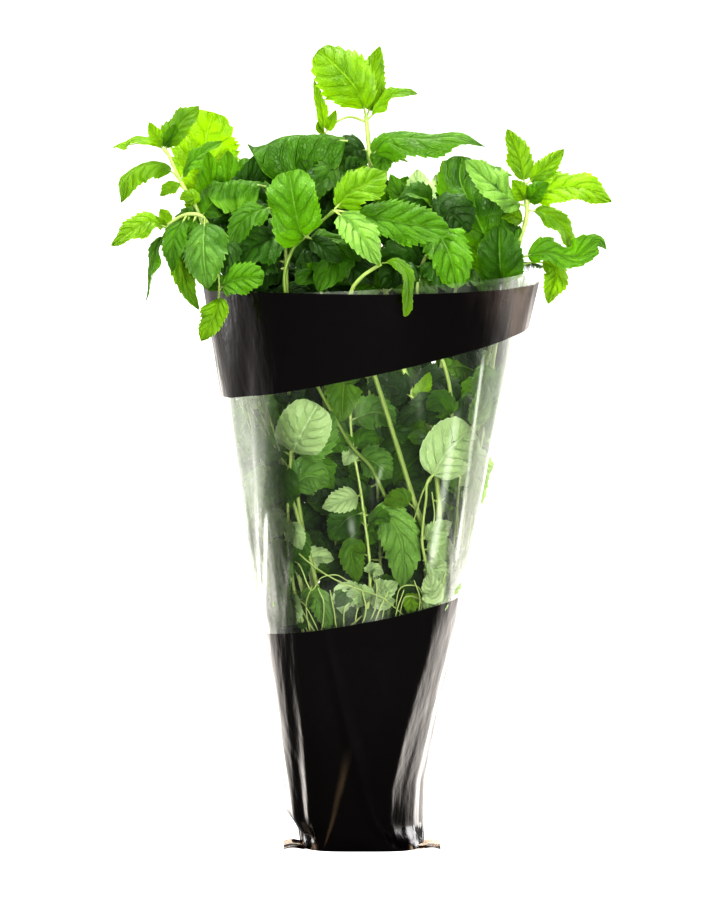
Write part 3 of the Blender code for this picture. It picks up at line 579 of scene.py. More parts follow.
leaf_piece("top_leaf_long", (370, 157, 10), [(390, 139, 4), (427, 139, 2), (457, 137, 2)],
           (486, 147, 0), 23, [(-0.2, -0.75, 0.6), (0.1, -0.4, 1)], "mid", fold=-14, shade=0.5, teeth=14,
           wave=0.14, petiole=0.03, shoulder=0.36)
leaf_piece("top_leaf_shaded", (370, 150, 12), (352, 152, 8), (336, 178, 4), 22, (-0.3, -0.8, 0.6), "deep",
           shade=0.35, shoulder=0.4)

# Centre sprigs
# Two stems behind the middle of the mouth. Their large old leaves drape over each other, in dark greens
# that paint the shade among them.
stem_piece(
    "centre_sprig_stem", (-4, 9),
    [(338, 560, 6), (326, 440, -2), (322, 320, -10), (322, 260, -8), (330, 215, -2), (338, 170, 0),
     (342, 142, 3)],
    leaves=[("mid", (337, 174, 0), (330, 172, -14), (316, 197, -20), 18, (-0.1, -0.9, 0.4), 0.3),
            ("mid", (337, 176, 0), (346, 178, -14), (350, 199, -20), 17, (0.2, -0.9, 0.4), 0.2),
            ("deep", (326, 238, -5), (345, 222, -14), (372, 238, -20), 24, (0, -0.6, 0.8), 0.5),
            ("deep", (324, 250, -7), (337, 228, -16), (338, 196, -20), 24, (0, -1, 0.3), 0.5),
            ("mid", (324, 250, -7), (346, 240, -34), (360, 262, -42), 20, (0.2, -0.8, 0.6), 0.25),
            ("mid", (322, 262, -9), (332, 262, -36), (318, 292, -46), 25, (0, -1, 0.3), 0.4),
            ("deep", (322, 268, -8), (348, 264, -20), (374, 284, -26), 26, (0, -0.6, 0.8), 0.5),
            ("deep", (331, 210, -2), (296, 184, 8), (258, 172, 12), 26, (-0.1, -0.9, 0.5), 0.5),
            ("mid", (333, 200, -1), (312, 176, -6), (300, 160, -8), 22, (-0.1, -0.9, 0.5), 0.2),
            ("mid", (334, 192, -1), (352, 172, 0), (366, 158, 2), 20, (0.1, -0.9, 0.5), 0.1),
            ("deep", (328, 222, -3), (306, 206, -14), (286, 216, -20), 26, SLANTING, 0.5)],
    pairs=climbing(0.16, 0.62, 5, 30, 19, 60, "mid", "deep", "deep"))
stem_piece(
    "left_centre_sprig_stem", (-8, -2),
    [(312, 580, -8), (292, 450, -20), (288, 330, -28), (286, 260, -33), (284, 230, -35), (274, 205, -34),
     (267, 188, -33)],
    leaves=[("deep", (286, 268, -32), (264, 272, -36), (242, 292, -36), 22, (0, -0.7, 0.7), 0.5),
            ("deep", (286, 258, -33), (306, 248, -40), (320, 262, -46), 24, SLANTING, 0.5),
            ("deep", (285, 238, -35), (300, 222, -34), (318, 226, -36), 22, SLANTING, 0.5),
            ("mid", (280, 218, -35), (262, 200, -30), (240, 200, -28), 22, LEVEL, 0.15),
            ("deep", (286, 262, -33), (262, 260, -44), (250, 282, -52), 22, SLANTING, 0.5)],
    pairs=climbing(0.2, 0.6, 4, 29, 18, 0, "mid", "deep"))
leaf_piece("crown_leaf_draped", (348, 141, 2), [(322, 136, 0), (290, 137, -2)], (252, 153, -6), 48,
           (0, -0.65, 0.75), "mid", fold=-44, petiole=0.02, shoulder=0.3, roundness=0.36, shade=0.35,
           teeth=12, wave=0.26, puff=0.03, lean=-0.3)
leaf_piece("crown_leaf_deep", (338, 172, -2), (322, 180, -17), (304, 202, -22), 22,
           (-0.2, -0.8, 0.6), "mid", shade=0.12)
leaf_piece("left_centre_leaf_drooping", (266, 187, -34), [(252, 183, -37), (230, 182, -40)],
           (207, 194, -42), 33, (0, -0.6, 0.8), "mid", fold=-44, shade=0.35, shoulder=0.3, roundness=0.4,
           wave=0.24, lean=-0.6)
leaf_piece("left_centre_leaf_rimmed", (273, 207, -37), [(258, 211, -45), (243, 222, -50)],
           (231, 247, -54), 17, (-0.4, -0.7, 0.6), "mid", shade=0.5, twist=-25)
leaf_piece("left_centre_leaf_deep", (284, 231, -37), (256, 246, -46), (223, 264, -52), 27,
           (-0.1, -0.8, 0.6), "deep", shade=0.9, shoulder=0.4)
leaf_piece("centre_leaf_low", (322, 254, -12), (318, 268, -28), (296, 284, -40), 24, LEVEL, "mid",
           shade=0.3)

# Front sprig and arching stem
# These lean on the front of the mouth. The round leaf and the lit one face the viewer; the veined one
# shows the pale underside, and the arching stem hangs its tip leaf over the rim.
stem_piece(
    "front_sprig_stem", (2, -12),
    [(398, 560, -20), (376, 477, -28), (348, 441, -34), (305, 360, -50), (285, 290, -62), (291, 253, -62),
     (306, 236, -60), (322, 221, -60), (334, 211, -61)],
    radius=1.3,
    leaves=[("bright", (333, 212, -61), (350, 190, -56), (366, 165, -54), 12, (-0.3, -1, 0.2), 0.5),
            ("mid", (334, 211, -61), (352, 222, -56), (374, 214, -54), 11, (0, -0.6, 0.8), 0.5),
            ("deep", (307, 236, -60), (330, 252, -64), (342, 262, -60), 12, (0.1, -1, 0.4), 0.5)],
    pairs=climbing(0.2, 0.34, 2, 24, 15, 60, "mid"), shade=0.15)
stem_piece(
    "arching_stem", (12, -14),
    [(443, 609, -26), (433, 554, -30), (417, 510, -34), (397, 446, -44), (378, 386, -54), (356, 320, -66),
     (351, 294, -72), (362, 277, -76), (381, 264, -78)],
    radius=1.7,
    leaves=[("bright", (420, 514, -34), [(409, 503, -38), (400, 498, -38)], (383, 504, -34), 11,
             (0, -1, 0.3), 0.2, {"petiole": 0.35})], shade=0.55)
leaf_piece("front_leaf_round", (306, 237, -60), [(299, 228, -67), (293, 198, -70)], (289, 171, -63), 31,
           (-0.15, -1, 0.15), "mid", fold=34, droop=0.5, petiole=0.03, shoulder=0.3, roundness=0.36,
           shade=0.75, teeth=14, wave=0.2, puff=0.055, bite=0.1)
leaf_piece("front_leaf_lit", (335, 209, -62), [(350, 193, -65), (366, 184, -64)], (387, 171, -58), 23,
           (-0.2, -0.85, 0.5), "bright", fold=16, shade=0.35, teeth=10, bite=0.2, puff=0.1, wave=0.16)
leaf_piece("front_leaf_veined", (335, 211, -63), [(352, 224, -74), (366, 243, -82)], (380, 266, -84), 19,
           (0.25, -1, 0.35), "cool", shade=0.95, puff=0.09, shoulder=0.55)
leaf_piece("front_leaf_long", (335, 210, -61), [(370, 217, -64), (410, 224, -62)], (449, 229, -58), 24,
           (0.05, -0.9, 0.5), "mid", petiole=0.2, shade=0.6, teeth=15, puff=0.075, shoulder=0.45,
           roundness=0.5)
leaf_piece("front_leaf_small", (307, 238, -59), (330, 238, -54), (356, 243, -53), 12,
           (0, -0.5, 0.85), "mid", shade=0.6)
leaf_piece("rim_leaf_hanging", (382, 263, -78), [(397, 262, -86), (407, 276, -92), (408, 296, -94)],
           (405, 317, -93), 9, [(0.1, -0.8, 0.7), (0.9, -0.6, 0.1)], "bright", roundness=0.4, petiole=0.06,
           shade=0.1, wave=0.2)

# Right sprigs
# A bright sprig leans far out to the right over a very large dark leaf. A sturdy stem behind it holds the
# broad leaf that rests on the rim.
stem_piece(
    "rear_right_sprig_stem", (20, 4),
    [(452, 560, -4), (452, 425, -24), (446, 371, -36), (424, 320, -46), (417, 292, -50), (421, 268, -46),
     (428, 250, -38), (434, 222, -28), (432, 203, -16)],
    leaves=[("pale", (432, 210, -18), (420, 190, -10), (417, 169, -8), 17, (-0.1, -1, 0.2), 0.3),
            ("pale", (432, 207, -18.5), (438, 186, -6), (436, 174, -2), 14, (0.1, -1, 0.2), 0.2),
            ("bright", (432, 205, -16), (445, 184, -2), (443, 160, 2), 11, (0.2, -1, 0.1), 0.5),
            ("mid", (432, 210, -20), (420, 196, -32), (398, 200, -34), 18, (0, -0.8, 0.5), 0.1),
            ("cool", (432, 212, -21), (418, 197, -36), (404, 194, -38), 8, (0, -0.4, 1), 0.4),
            ("mid", (433, 214, -23), (405, 200, -14), (390, 174, -10), 14, (-0.1, -1, 0.2), 0.5),
            ("deep", (425, 258, -42), (442, 262, -56), (448, 292, -62), 27, (0.1, -1, 0.3), 0.8),
            ("deep", (421, 268, -46), (404, 262, -58), (382, 288, -64), 26, SLANTING, 0.7),
            ("deep", (433, 226, -28), (450, 214, -30), (470, 232, -34), 26, SLANTING, 0.5),
            ("deep", (430, 244, -36), (412, 236, -40), (394, 254, -46), 26, SLANTING, 0.5),
            ("deep", (433, 216, -24), (446, 196, -10), (462, 180, -2), 20, SLANTING, 0.5),
            ("mid", (452, 418, -25), (440, 402, -36), (426, 410, -42), 15, (0, -1, 0.3), 0.2)],
    pairs=climbing(0.2, 0.56, 4, 30, 19, 100, "mid", "deep"), shade=0.8)
stem_piece(
    "right_sprig_stem", (24, -5),
    [(456, 590, -8), (482, 430, -14), (498, 330, -17), (508, 287, -18), (518, 247, -18), (526, 220, -18),
     (527, 204, -18), (525, 186, -17)],
    radius=1.6,
    leaves=[("mid", (527, 203, -18), (538, 190, -26), (549, 183, -28), 11, (0.1, -1, 0.3), 0.7),
            ("bright", (526, 202, -18), (520, 190, -24), (512, 180, -26), 10, (-0.1, -1, 0.3), 0.5),
            ("bright", (525, 222, -18), (508, 214, -24), (496, 216, -26), 10, (-0.1, -0.9, 0.4), 0.5),
            ("mid", (519, 244, -18), (504, 232, -24), (490, 238, -28), 16, (-0.1, -0.9, 0.4), 0.2),
            ("deep", (516, 254, -18), (500, 250, -8), (484, 266, -4), 24, (-0.1, -0.9, 0.4), 0.5)],
    pairs=climbing(0.18, 0.6, 4, 28, 17, 40, "mid", "cool", "deep"), shade=0.85)
stem_piece(
    "right_low_sprig_stem", (17, -12),
    [(450, 600, -14), (474, 430, -12), (494, 330, -24), (503, 290, -31), (509, 272, -31), (518, 258, -30)],
    leaves=[("mid", (478, 412, -14), [(490, 400, -18), (492, 420, -20)], (487, 440, -20), 12,
             (0.4, -1, 0.2), 0.6, {"wave": 0.25}),
            ("mid", (488, 360, -20), (484, 380, -26), (478, 408, -28), 13, (0.2, -1, 0.2), 0.4)],
    pairs=climbing(0.24, 0.6, 4, 25, 15, 120, "cool", "pale", "mid"))
leaf_piece("rim_leaf_broad", (437, 214, -24), [(440, 234, -46), (450, 256, -60)], (458, 288, -66), 25,
           (0.15, -1, 0.3), "mid", petiole=0.25, shade=0.95, puff=0.075, shoulder=0.42, roundness=0.55)
leaf_piece("right_leaf_great", (507, 288, -18), [(492, 250, -24), (472, 208, -28), (460, 180, -20)],
           (462, 156, -12), 35, (-0.2, -0.95, 0.25), "mid", fold=6, shade=0.12, teeth=16, wave=0.22,
           shoulder=0.4, roundness=0.5)
leaf_piece("right_leaf_round", (503, 290, -31), (500, 262, -40), (499, 226, -36), 26, FORWARD, "mid",
           shade=0.1, shoulder=0.44, roundness=0.6, bite=0.08)
leaf_piece("right_leaf_cool", (526, 206, -18), [(512, 200, -22), (492, 184, -28)], (465, 160, -30), 24,
           (-0.1, -0.65, 0.75), "cool", shade=0.8, teeth=13, puff=0.06)
leaf_piece("right_sprig_leaf_upright", (525, 186, -16), [(522, 170, -14), (517, 150, -12)],
           (507, 129, -12), 15, (0.35, -0.9, 0.2), "bright", shade=0.4, teeth=9, bite=0.2, wave=0.14)
leaf_piece("right_sprig_leaf_small", (526, 184, -17), (546, 168, -19), (564, 149, -18), 12, (0, -0.8, 0.5),
           "bright", shade=0.35, bite=0.2)
leaf_piece("right_sprig_leaf_long", (527, 204, -18), [(550, 190, -22), (582, 188, -28)],
           (612, 202, -30), 22, (0.1, -0.75, 0.6), "bright", shade=0.6, teeth=15, bite=0.16)
leaf_piece("right_sprig_leaf_curved", (527, 210, -18), [(545, 213, -20), (562, 226, -20), (574, 246, -18)],
           (580, 240, -16), 13, [(0.2, -0.7, 0.7), (0.5, -0.8, 0.2)], "bright", shade=0.3, wave=0.2)
leaf_piece("right_sprig_leaf_wavy", (518, 258, -30), [(545, 252, -34), (575, 256, -36), (597, 240, -38)],
           (607, 250, -36), 19, (0.1, -0.7, 0.7), "mid", shade=0.7, wave=0.28, teeth=12)
leaf_piece("right_rim_leaf_hanging", (516, 266, -30), [(540, 262, -28), (556, 272, -28)],
           (548, 304, -28), 14, (0.3, -1, 0.2), "bright", petiole=0.35, shade=0.35, wave=0.2)

# Left sprigs
# The left sprig leans out past the mouth, in front of a big leaf lit from behind. The left front sprig
# hangs its leaves over the rim.
stem_piece(
    "left_sprig_stem", (-15, -5),
    [(300, 580, -13), (262, 460, -20), (245, 390, -22), (226, 300, -25), (208, 240, -26), (197, 209, -26),
     (181, 182, -24), (169, 156, -22), (164, 149, -21)],
    leaves=[("bright", (164, 150, -21), (156, 136, -22), (149, 122, -22), 8, (-0.3, -1, 0.2), 0.5),
            ("mid", (164, 150, -21), (172, 134, -24), (176, 124, -26), 8, (0.2, -1, 0.2), 0.5),
            ("bright", (181, 182, -24), (171, 187, -28), (160, 196, -30), 9, (-0.3, -0.8, 0.5), 0.5),
            ("bright", (196, 206, -26), (190, 196, -30), (180, 200, -34), 9, (-0.3, -0.8, 0.5), 0.5),
            ("mid", (200, 218, -26), (216, 200, -28), (232, 204, -30), 18, (0.1, -0.8, 0.6), 0.3),
            ("deep", (205, 232, -26), (222, 222, -24), (240, 236, -22), 22, (0.1, -0.9, 0.5), 0.5),
            ("mid", (203, 226, -26), (186, 222, -20), (172, 240, -18), 16, (-0.2, -0.9, 0.5), 0.4),
            ("deep", (216, 266, -26), (232, 258, -34), (246, 276, -40), 22, (0.1, -0.9, 0.5), 0.5)],
    pairs=climbing(0.18, 0.56, 5, 25, 15, 80, "mid", "pale", "deep"), shade=0.75)
stem_piece(
    "left_front_sprig_stem", (-12, -14),
    [(318, 590, -26), (280, 460, -34), (262, 400, -38), (243, 330, -38), (226, 280, -40), (213, 242, -42),
     (205, 219, -43), (188, 214, -42), (172, 222, -41), (166, 231, -41)],
    shoots=[[(213, 242, -42), (216, 262, -52), (219, 278, -55), (219, 295, -55)]],
    leaves=[("bright", (170, 224, -41), (166, 217, -41), (160, 209, -41), 7, (-0.3, -1, 0.2), 0.5),
            ("bright", (168, 226, -41), (160, 222, -44), (154, 216, -44), 5, (-0.3, -1, 0.2), 0.5),
            ("mid", (196, 216, -42), (186, 238, -48), (184, 262, -50), 15, (-0.3, -1, 0.2), 0.6),
            ("deep", (213, 242, -42), (226, 250, -56), (224, 276, -62), 17, (0.2, -1, 0.3), 0.8),
            ("mid", (219, 292, -55), (214, 284, -50), (203, 286, -46), 9, (-0.3, -0.9, 0.4), 0.5)],
    shade=0.6)
stem_piece(
    "left_rear_sprig_stem", (-11, 12),
    [(306, 590, 12), (272, 450, 14), (245, 330, 16), (225, 250, 16), (214, 220, 15), (209, 208, 14)],
    leaves=[("mid", (215, 222, 15), (212, 185, 0), (207, 150, -6), 18, (-0.1, -1, 0.2), 0.8),
            ("mid", (214, 220, 15), (228, 186, 2), (228, 150, -2), 20, (0.2, -1, 0.2), 0.55),
            ("deep", (219, 234, 16), (246, 190, -2), (256, 154, -6), 22, (0.2, -1, 0.2), 0.6),
            ("deep", (225, 250, 16), (236, 224, -6), (234, 238, -20), 18, (0, -0.3, 1), 0.5),
            ("deep", (222, 242, 16), (238, 214, 2), (226, 196, -8), 24, (0, -1, 0.3), 0.7),
            ("bright", (212, 216, 15), (196, 204, 8), (190, 184, 4), 12, (-0.2, -1, 0.2), 0.8),
            ("deep", (234, 284, 16), (262, 244, 6), (290, 258, 0), 26, LEVEL, 0.5),
            ("deep", (228, 262, 16), (250, 236, 4), (268, 220, -4), 26, SLANTING, 0.5)],
    pairs=climbing(0.2, 0.76, 8, 32, 21, 30, "deep", "mid"))
leaf_piece("left_leaf_upright", (165, 150, -21), [(172, 136, -22), (184, 120, -22)], (199, 106, -20), 17,
           (-0.3, -0.8, 0.5), "bright", shade=0.1, wave=0.14)
leaf_piece("left_leaf_level", (164, 149, -20), [(150, 141, -17), (132, 143, -14)], (111, 148, -12), 16,
           (0, -0.25, 1), "bright", shade=0.5)
leaf_piece("left_leaf_arching", (178, 176, -24), [(158, 164, -27), (132, 172, -30)], (121, 203, -32), 17,
           (-0.2, -0.55, 0.85), "bright", fold=-20, shade=0.25, wave=0.14, teeth=10, bite=0.18)
leaf_piece("left_leaf_rising", (180, 180, -25), [(188, 168, -28), (204, 152, -32)], (222, 141, -34), 17,
           (-0.4, -0.5, 0.8), "mid", shade=0.75, wave=0.14)
leaf_piece("left_leaf_backlit", (209, 206, 14), [(205, 180, 17), (206, 140, 18)], (213, 112, 14), 37,
           (0, -1, 0.1), "bright", roundness=0.42, shoulder=0.42, shade=0.6, puff=0.06, wave=0.12)
leaf_piece("left_front_leaf_arching", (168, 228, -43), [(150, 222, -48), (130, 232, -51)],
           (111, 246, -52), 17, (-0.2, -0.7, 0.75), "bright", shade=0.5)
leaf_piece("left_front_leaf_curled", (167, 231, -42), [(157, 246, -41), (152, 272, -40)],
           (146, 302, -38), 11, (-0.6, -0.8, 0.2), "mid", twist=50, shade=0.6, wave=0.2)
leaf_piece("left_front_leaf_narrow", (186, 216, -45), [(176, 234, -52), (173, 252, -55)],
           (172, 272, -56), 14, (-0.4, -0.9, 0.2), "mid", shade=0.5)
leaf_piece("left_front_leaf_broad", (205, 218, -46), [(203, 240, -58), (204, 262, -64)],
           (208, 289, -67), 26, (-0.2, -1, 0.3), "cool", fold=-14, shade=0.1, puff=0.07, shoulder=0.42)
leaf_piece("left_front_leaf_behind", (189, 217, -43), [(182, 250, -44), (186, 284, -46)],
           (199, 310, -48), 14, (-0.5, -0.9, 0.2), "bright", shade=0.1, wave=0.14)
leaf_piece("left_rim_leaf_rounded", (219, 290, -55), [(230, 282, -62), (246, 278, -66)],
           (264, 278, -68), 18, (-0.1, -0.9, 0.45), "mid", roundness=0.4, shoulder=0.38, shade=0.95)
leaf_piece("left_rim_leaf_hanging", (219, 294, -56), [(217, 306, -60), (211, 322, -62)],
           (201, 341, -62), 15, (-0.3, -0.9, 0.3), "bright", shade=0.35)

# Sprigs at the back
# Three stems fill the back of the mouth, seen from behind and from above. The photograph hides them, so
# they follow the habit of the rest.
stem_piece(
    "back_left_sprig", (-14, 20),
    [(310, 580, 26), (285, 430, 36), (262, 320, 44), (246, 250, 50), (238, 200, 56), (236, 178, 58)],
    leaves=[("mid", (236, 180, 58), (222, 160, 64), (202, 156, 72), 22, (-0.2, 0.1, 1), 0.5),
            ("mid", (236, 182, 58), (252, 164, 64), (272, 164, 70), 20, (0.2, 0.1, 1), 0.5),
            ("cool", (284, 432, 36), (262, 430, 30), (236, 442, 22), 28, FORWARD, 0.3),
            ("deep", (286, 450, 35), (268, 472, 28), (250, 508, 20), 28, FORWARD, 0.8),
            ("deep", (290, 480, 33), (272, 520, 26), (264, 558, 16), 26, FORWARD, 0.5),
            ("cool", (280, 410, 37), (262, 392, 32), (240, 398, 26), 28, FORWARD, 0.1),
            ("deep", (292, 500, 32), (306, 532, 26), (300, 572, 18), 28, FORWARD, 0.5),
            ("mid", (291, 490, 33), (262, 500, 18), (246, 532, 8), 20, FORWARD, 0.3),
            ("mid", (278, 400, 38), (254, 412, 24), (238, 436, 12), 20, FORWARD, 0.3),
            ("mid", (245, 245, 50), (214, 230, 56), (184, 242, 60), 24, (-0.3, 0.1, 1), 0.5),
            ("mid", (242, 224, 53), (256, 216, 72), (262, 240, 90), 26, (0.1, 0.2, 1), 0.5),
            ("deep", (249, 266, 48), (228, 256, 64), (212, 272, 76), 22, (-0.1, 0.2, 1), 0.5)],
    pairs=climbing(0.14, 0.88, 12, 36, 24, 60, "deep", "deep", "mid"))
stem_piece(
    "back_middle_sprig", (3, 22),
    [(352, 580, 28), (350, 430, 40), (352, 320, 48), (356, 250, 52), (360, 190, 54), (362, 160, 54)],
    leaves=[("mid", (362, 162, 54), (338, 150, 60), (312, 160, 64), 24, (-0.2, 0.1, 1), 0.5),
            ("mid", (361, 166, 54), (384, 152, 60), (408, 162, 64), 24, (0.2, 0.1, 1), 0.5),
            ("deep", (350, 426, 40), (374, 400, 34), (408, 384, 28), 30, FORWARD, 0.5),
            ("deep", (350, 440, 40), (325, 430, 34), (300, 440, 28), 28, FORWARD, 0.5),
            ("deep", (351, 480, 38), (380, 500, 32), (412, 520, 26), 30, FORWARD, 0.5),
            ("deep", (351, 500, 37), (325, 520, 30), (300, 542, 24), 28, FORWARD, 0.5),
            ("deep", (350, 400, 41), (332, 380, 36), (306, 392, 30), 28, FORWARD, 0.5),
            ("mid", (360, 196, 54), (352, 184, 74), (350, 208, 92), 28, (0, 0.2, 1), 0.5),
            ("mid", (357, 234, 52), (386, 222, 66), (408, 240, 78), 24, (0.2, 0.1, 1), 0.5),
            ("deep", (356, 254, 52), (328, 242, 66), (306, 262, 76), 24, (-0.1, 0.2, 1), 0.5)],
    pairs=climbing(0.12, 0.88, 13, 36, 25, 10, "deep", "mid"))
stem_piece(
    "back_right_sprig", (19, 16),
    [(402, 580, 22), (428, 430, 32), (450, 320, 40), (462, 250, 44), (468, 200, 44), (469, 180, 44)],
    leaves=[("mid", (469, 182, 44), (488, 170, 52), (512, 176, 58), 22, (0.2, 0.1, 1), 0.5),
            ("mid", (468, 192, 44), (456, 178, 58), (446, 190, 74), 20, (-0.1, 0.2, 1), 0.5),
            ("cool", (430, 420, 32), (455, 402, 26), (488, 412, 20), 30, FORWARD, 0.4),
            ("deep", (428, 430, 32), (452, 440, 26), (484, 464, 20), 30, FORWARD, 0.8),
            ("deep", (425, 444, 31), (450, 484, 24), (468, 518, 16), 28, FORWARD, 0.5),
            ("deep", (434, 396, 33), (412, 382, 28), (388, 392, 24), 28, FORWARD, 0.5),
            ("cool", (440, 372, 35), (462, 366, 30), (496, 382, 24), 30, FORWARD, 0.2),
            ("deep", (418, 480, 29), (440, 522, 22), (448, 566, 14), 28, FORWARD, 0.5),
            ("mid", (432, 410, 32), (470, 400, 18), (498, 424, 8), 22, FORWARD, 0.4),
            ("mid", (427, 438, 31), (460, 450, 14), (484, 488, 4), 22, FORWARD, 0.3),
            ("mid", (420, 470, 29), (456, 500, 14), (472, 542, 2), 20, FORWARD, 0.5),
            ("mid", (464, 230, 44), (492, 218, 54), (520, 234, 60), 24, (0.2, 0.1, 1), 0.5),
            ("mid", (463, 244, 44), (452, 230, 64), (444, 250, 82), 26, (-0.1, 0.2, 1), 0.5),
            ("deep", (460, 262, 43), (482, 252, 60), (500, 272, 72), 22, (0.2, 0.2, 1), 0.5)],
    pairs=climbing(0.14, 0.88, 12, 36, 24, 130, "deep", "mid", "deep"))

# Sprigs behind the clear film
# Short sprigs fill the sleeve between its two bands. Leaves pressed against the film show pale undersides,
# and the deeper ones wear a dark green that paints the shade among them. Thin young runners cross between
# them near the lower band.
stem_piece(
    "window_left_sprig", (-17, -14), [(296, 600, -26), (288, 520, -36), (290, 470, -42), (292, 440, -44)],
    radius=1.0, shoot_radius=0.5,
    shoots=[[(290, 545, -34), (311, 564, -40), (336, 580, -44), (364, 591, -44), (384, 599, -42),
             (410, 621, -36)],
            [(291, 560, -33), (300, 566, -40), (311, 590, -42), (321, 578, -43), (336, 575, -43),
             (348, 581, -43)],
            [(295, 600, -27), (304, 604, -34), (314, 622, -34), (322, 640, -30)],
            [(295, 604, -27), (300, 612, -30), (305, 640, -28)],
            [(296, 600, -26), (318, 634, -34), (324, 606, -42), (318, 588, -42)],
            [(296, 602, -26), (310, 636, -32), (306, 606, -40), (312, 586, -42)],
            [(290, 470, -42), (264, 432, -40), (246, 400, -34), (240, 382, -30)],
            [(291, 480, -41), (271, 438, -42), (256, 402, -38), (250, 382, -34)],
            [(290, 490, -40), (277, 442, -43), (266, 406, -40), (258, 382, -36)],
            [(289, 500, -39), (262, 460, -38), (248, 424, -34), (236, 394, -28)]],
    leaves=[("pale", (291, 456, -43), (303, 430, -54), (318, 404, -56), 29, (0, -1, 0.1),
             0.25, {"roundness": 0.36, "shoulder": 0.36, "bite": 0.05, "wave": 0.08}),
            ("cool", (291, 452, -43), (314, 440, -46), (334, 412, -46), 22, (0, -1, 0.1), 0.3),
            ("mid", (291, 455, -43), (268, 444, -41), (244, 432, -30), 18, (-0.2, -1, 0.3), 0.7),
            ("mid", (291, 462, -42), (283, 482, -46), (284, 510, -34), 20, (-0.1, -1, 0.2), 0.35),
            ("cool", (289, 490, -40), (308, 476, -36), (330, 482, -34), 22, FORWARD, 0.2),
            ("pale", (289, 512, -37), (278, 520, -40), (268, 538, -36), 14, (-0.1, -1, 0.2), 0.2),
            ("pale", (289, 520, -36), (296, 534, -42), (302, 550, -40), 10, FORWARD, 0.4),
            ("pale", (295, 590, -27), (288, 604, -34), (289, 626, -32), 16, (-0.1, -1, 0.2),
             0.1, {"roundness": 0.4}),
            ("pale", (292, 572, -31), (286, 574, -36), (282, 588, -36), 9, (-0.1, -1, 0.2), 0.4),
            ("cool", (291, 560, -33), (280, 552, -34), (270, 572, -30), 14, (-0.2, -1, 0.2), 0.6),
            ("mid", (291, 566, -32), (300, 562, -38), (306, 580, -38), 10, (0.1, -1, 0.3), 0.2),
            ("cool", (296, 600, -26), (318, 600, -36), (330, 632, -34), 13, FORWARD, 0.5),
            ("mid", (289, 530, -35), (300, 540, -38), (297, 572, -35), 12, FORWARD, 0.3),
            ("bright", (290, 500, -39), (274, 506, -34), (266, 545, -24), 15, (-0.2, -1, 0.2), 0.4),
            ("bright", (289, 534, -35), (276, 556, -36), (273, 600, -27), 14, (-0.2, -1, 0.2), 0.3),
            ("cool", (290, 548, -34), (280, 590, -34), (281, 622, -26), 12, (-0.2, -1, 0.2), 0.5),
            ("bright", (288, 500, -39), (262, 480, -30), (250, 508, -20), 16, (-0.3, -1, 0.2), 0.3)],
    shade=0.9)
stem_piece(
    "window_right_sprig", (5, -20),
    [(424, 600, -30), (422, 540, -40), (426, 500, -46), (430, 478, -48), (460, 455, -36), (470, 430, -34)],
    radius=1.0, shoot_radius=0.55,
    shoots=[[(424, 596, -31), (416, 586, -38), (399, 590, -40), (395, 626, -34)],
            [(424, 600, -30), (408, 596, -38), (402, 604, -38), (398, 628, -34)],
            [(422, 540, -40), (434, 520, -42), (432, 492, -44)],
            [(424, 600, -30), (416, 626, -34), (420, 600, -40), (414, 580, -42)],
            [(424, 600, -30), (436, 622, -32), (440, 596, -38), (446, 570, -36)],
            [(430, 478, -48), (422, 494, -46), (414, 520, -40)],
            [(462, 452, -36), (458, 500, -34), (452, 560, -30), (446, 612, -28)],
            [(464, 446, -35), (466, 500, -30), (458, 560, -28)]],
    leaves=[("pale", (429, 482, -48), (446, 454, -44), (472, 428, -34), 31, (0.25, -1, 0.1),
             0.2, {"roundness": 0.42, "shoulder": 0.4, "bite": 0.05, "wave": 0.08}),
            ("pale", (464, 446, -35), (474, 486, -28), (469, 518, -23), 17, (0.3, -1, 0.1), 0.1),
            ("cool", (470, 430, -34), (480, 410, -36), (486, 380, -34), 12, (0.3, -1, 0.1), 0.5),
            ("pale", (462, 450, -36), (480, 462, -32), (486, 486, -26), 13, (0.3, -1, 0.1), 0.4),
            ("pale", (422, 540, -40), (436, 532, -42), (452, 522, -38), 12, (0.1, -1, 0.2), 0.1),
            ("pale", (423, 550, -38), (440, 548, -38), (456, 556, -32), 13, (0.1, -1, 0.2), 0.2),
            ("pale", (424, 570, -35), (436, 566, -38), (441, 554, -38), 9, (0.1, -1, 0.2), 0.3),
            ("pale", (424, 588, -32), (432, 592, -38), (428, 574, -40), 13, (0.1, -1, 0.2), 0.9),
            ("pale", (424, 594, -31), (436, 606, -36), (440, 580, -36), 12, (0.2, -1, 0.2), 0.1),
            ("pale", (424, 590, -32), (448, 586, -32), (462, 570, -26), 13, (0.2, -1, 0.2), 0.2),
            ("bright", (424, 604, -30), (412, 600, -36), (410, 618, -36), 9, (-0.2, -0.8, 0.5), 0.8),
            ("pale", (423, 560, -37), (440, 572, -36), (452, 592, -30), 12, (0.2, -1, 0.2), 0.2)],
    shade=0.9)
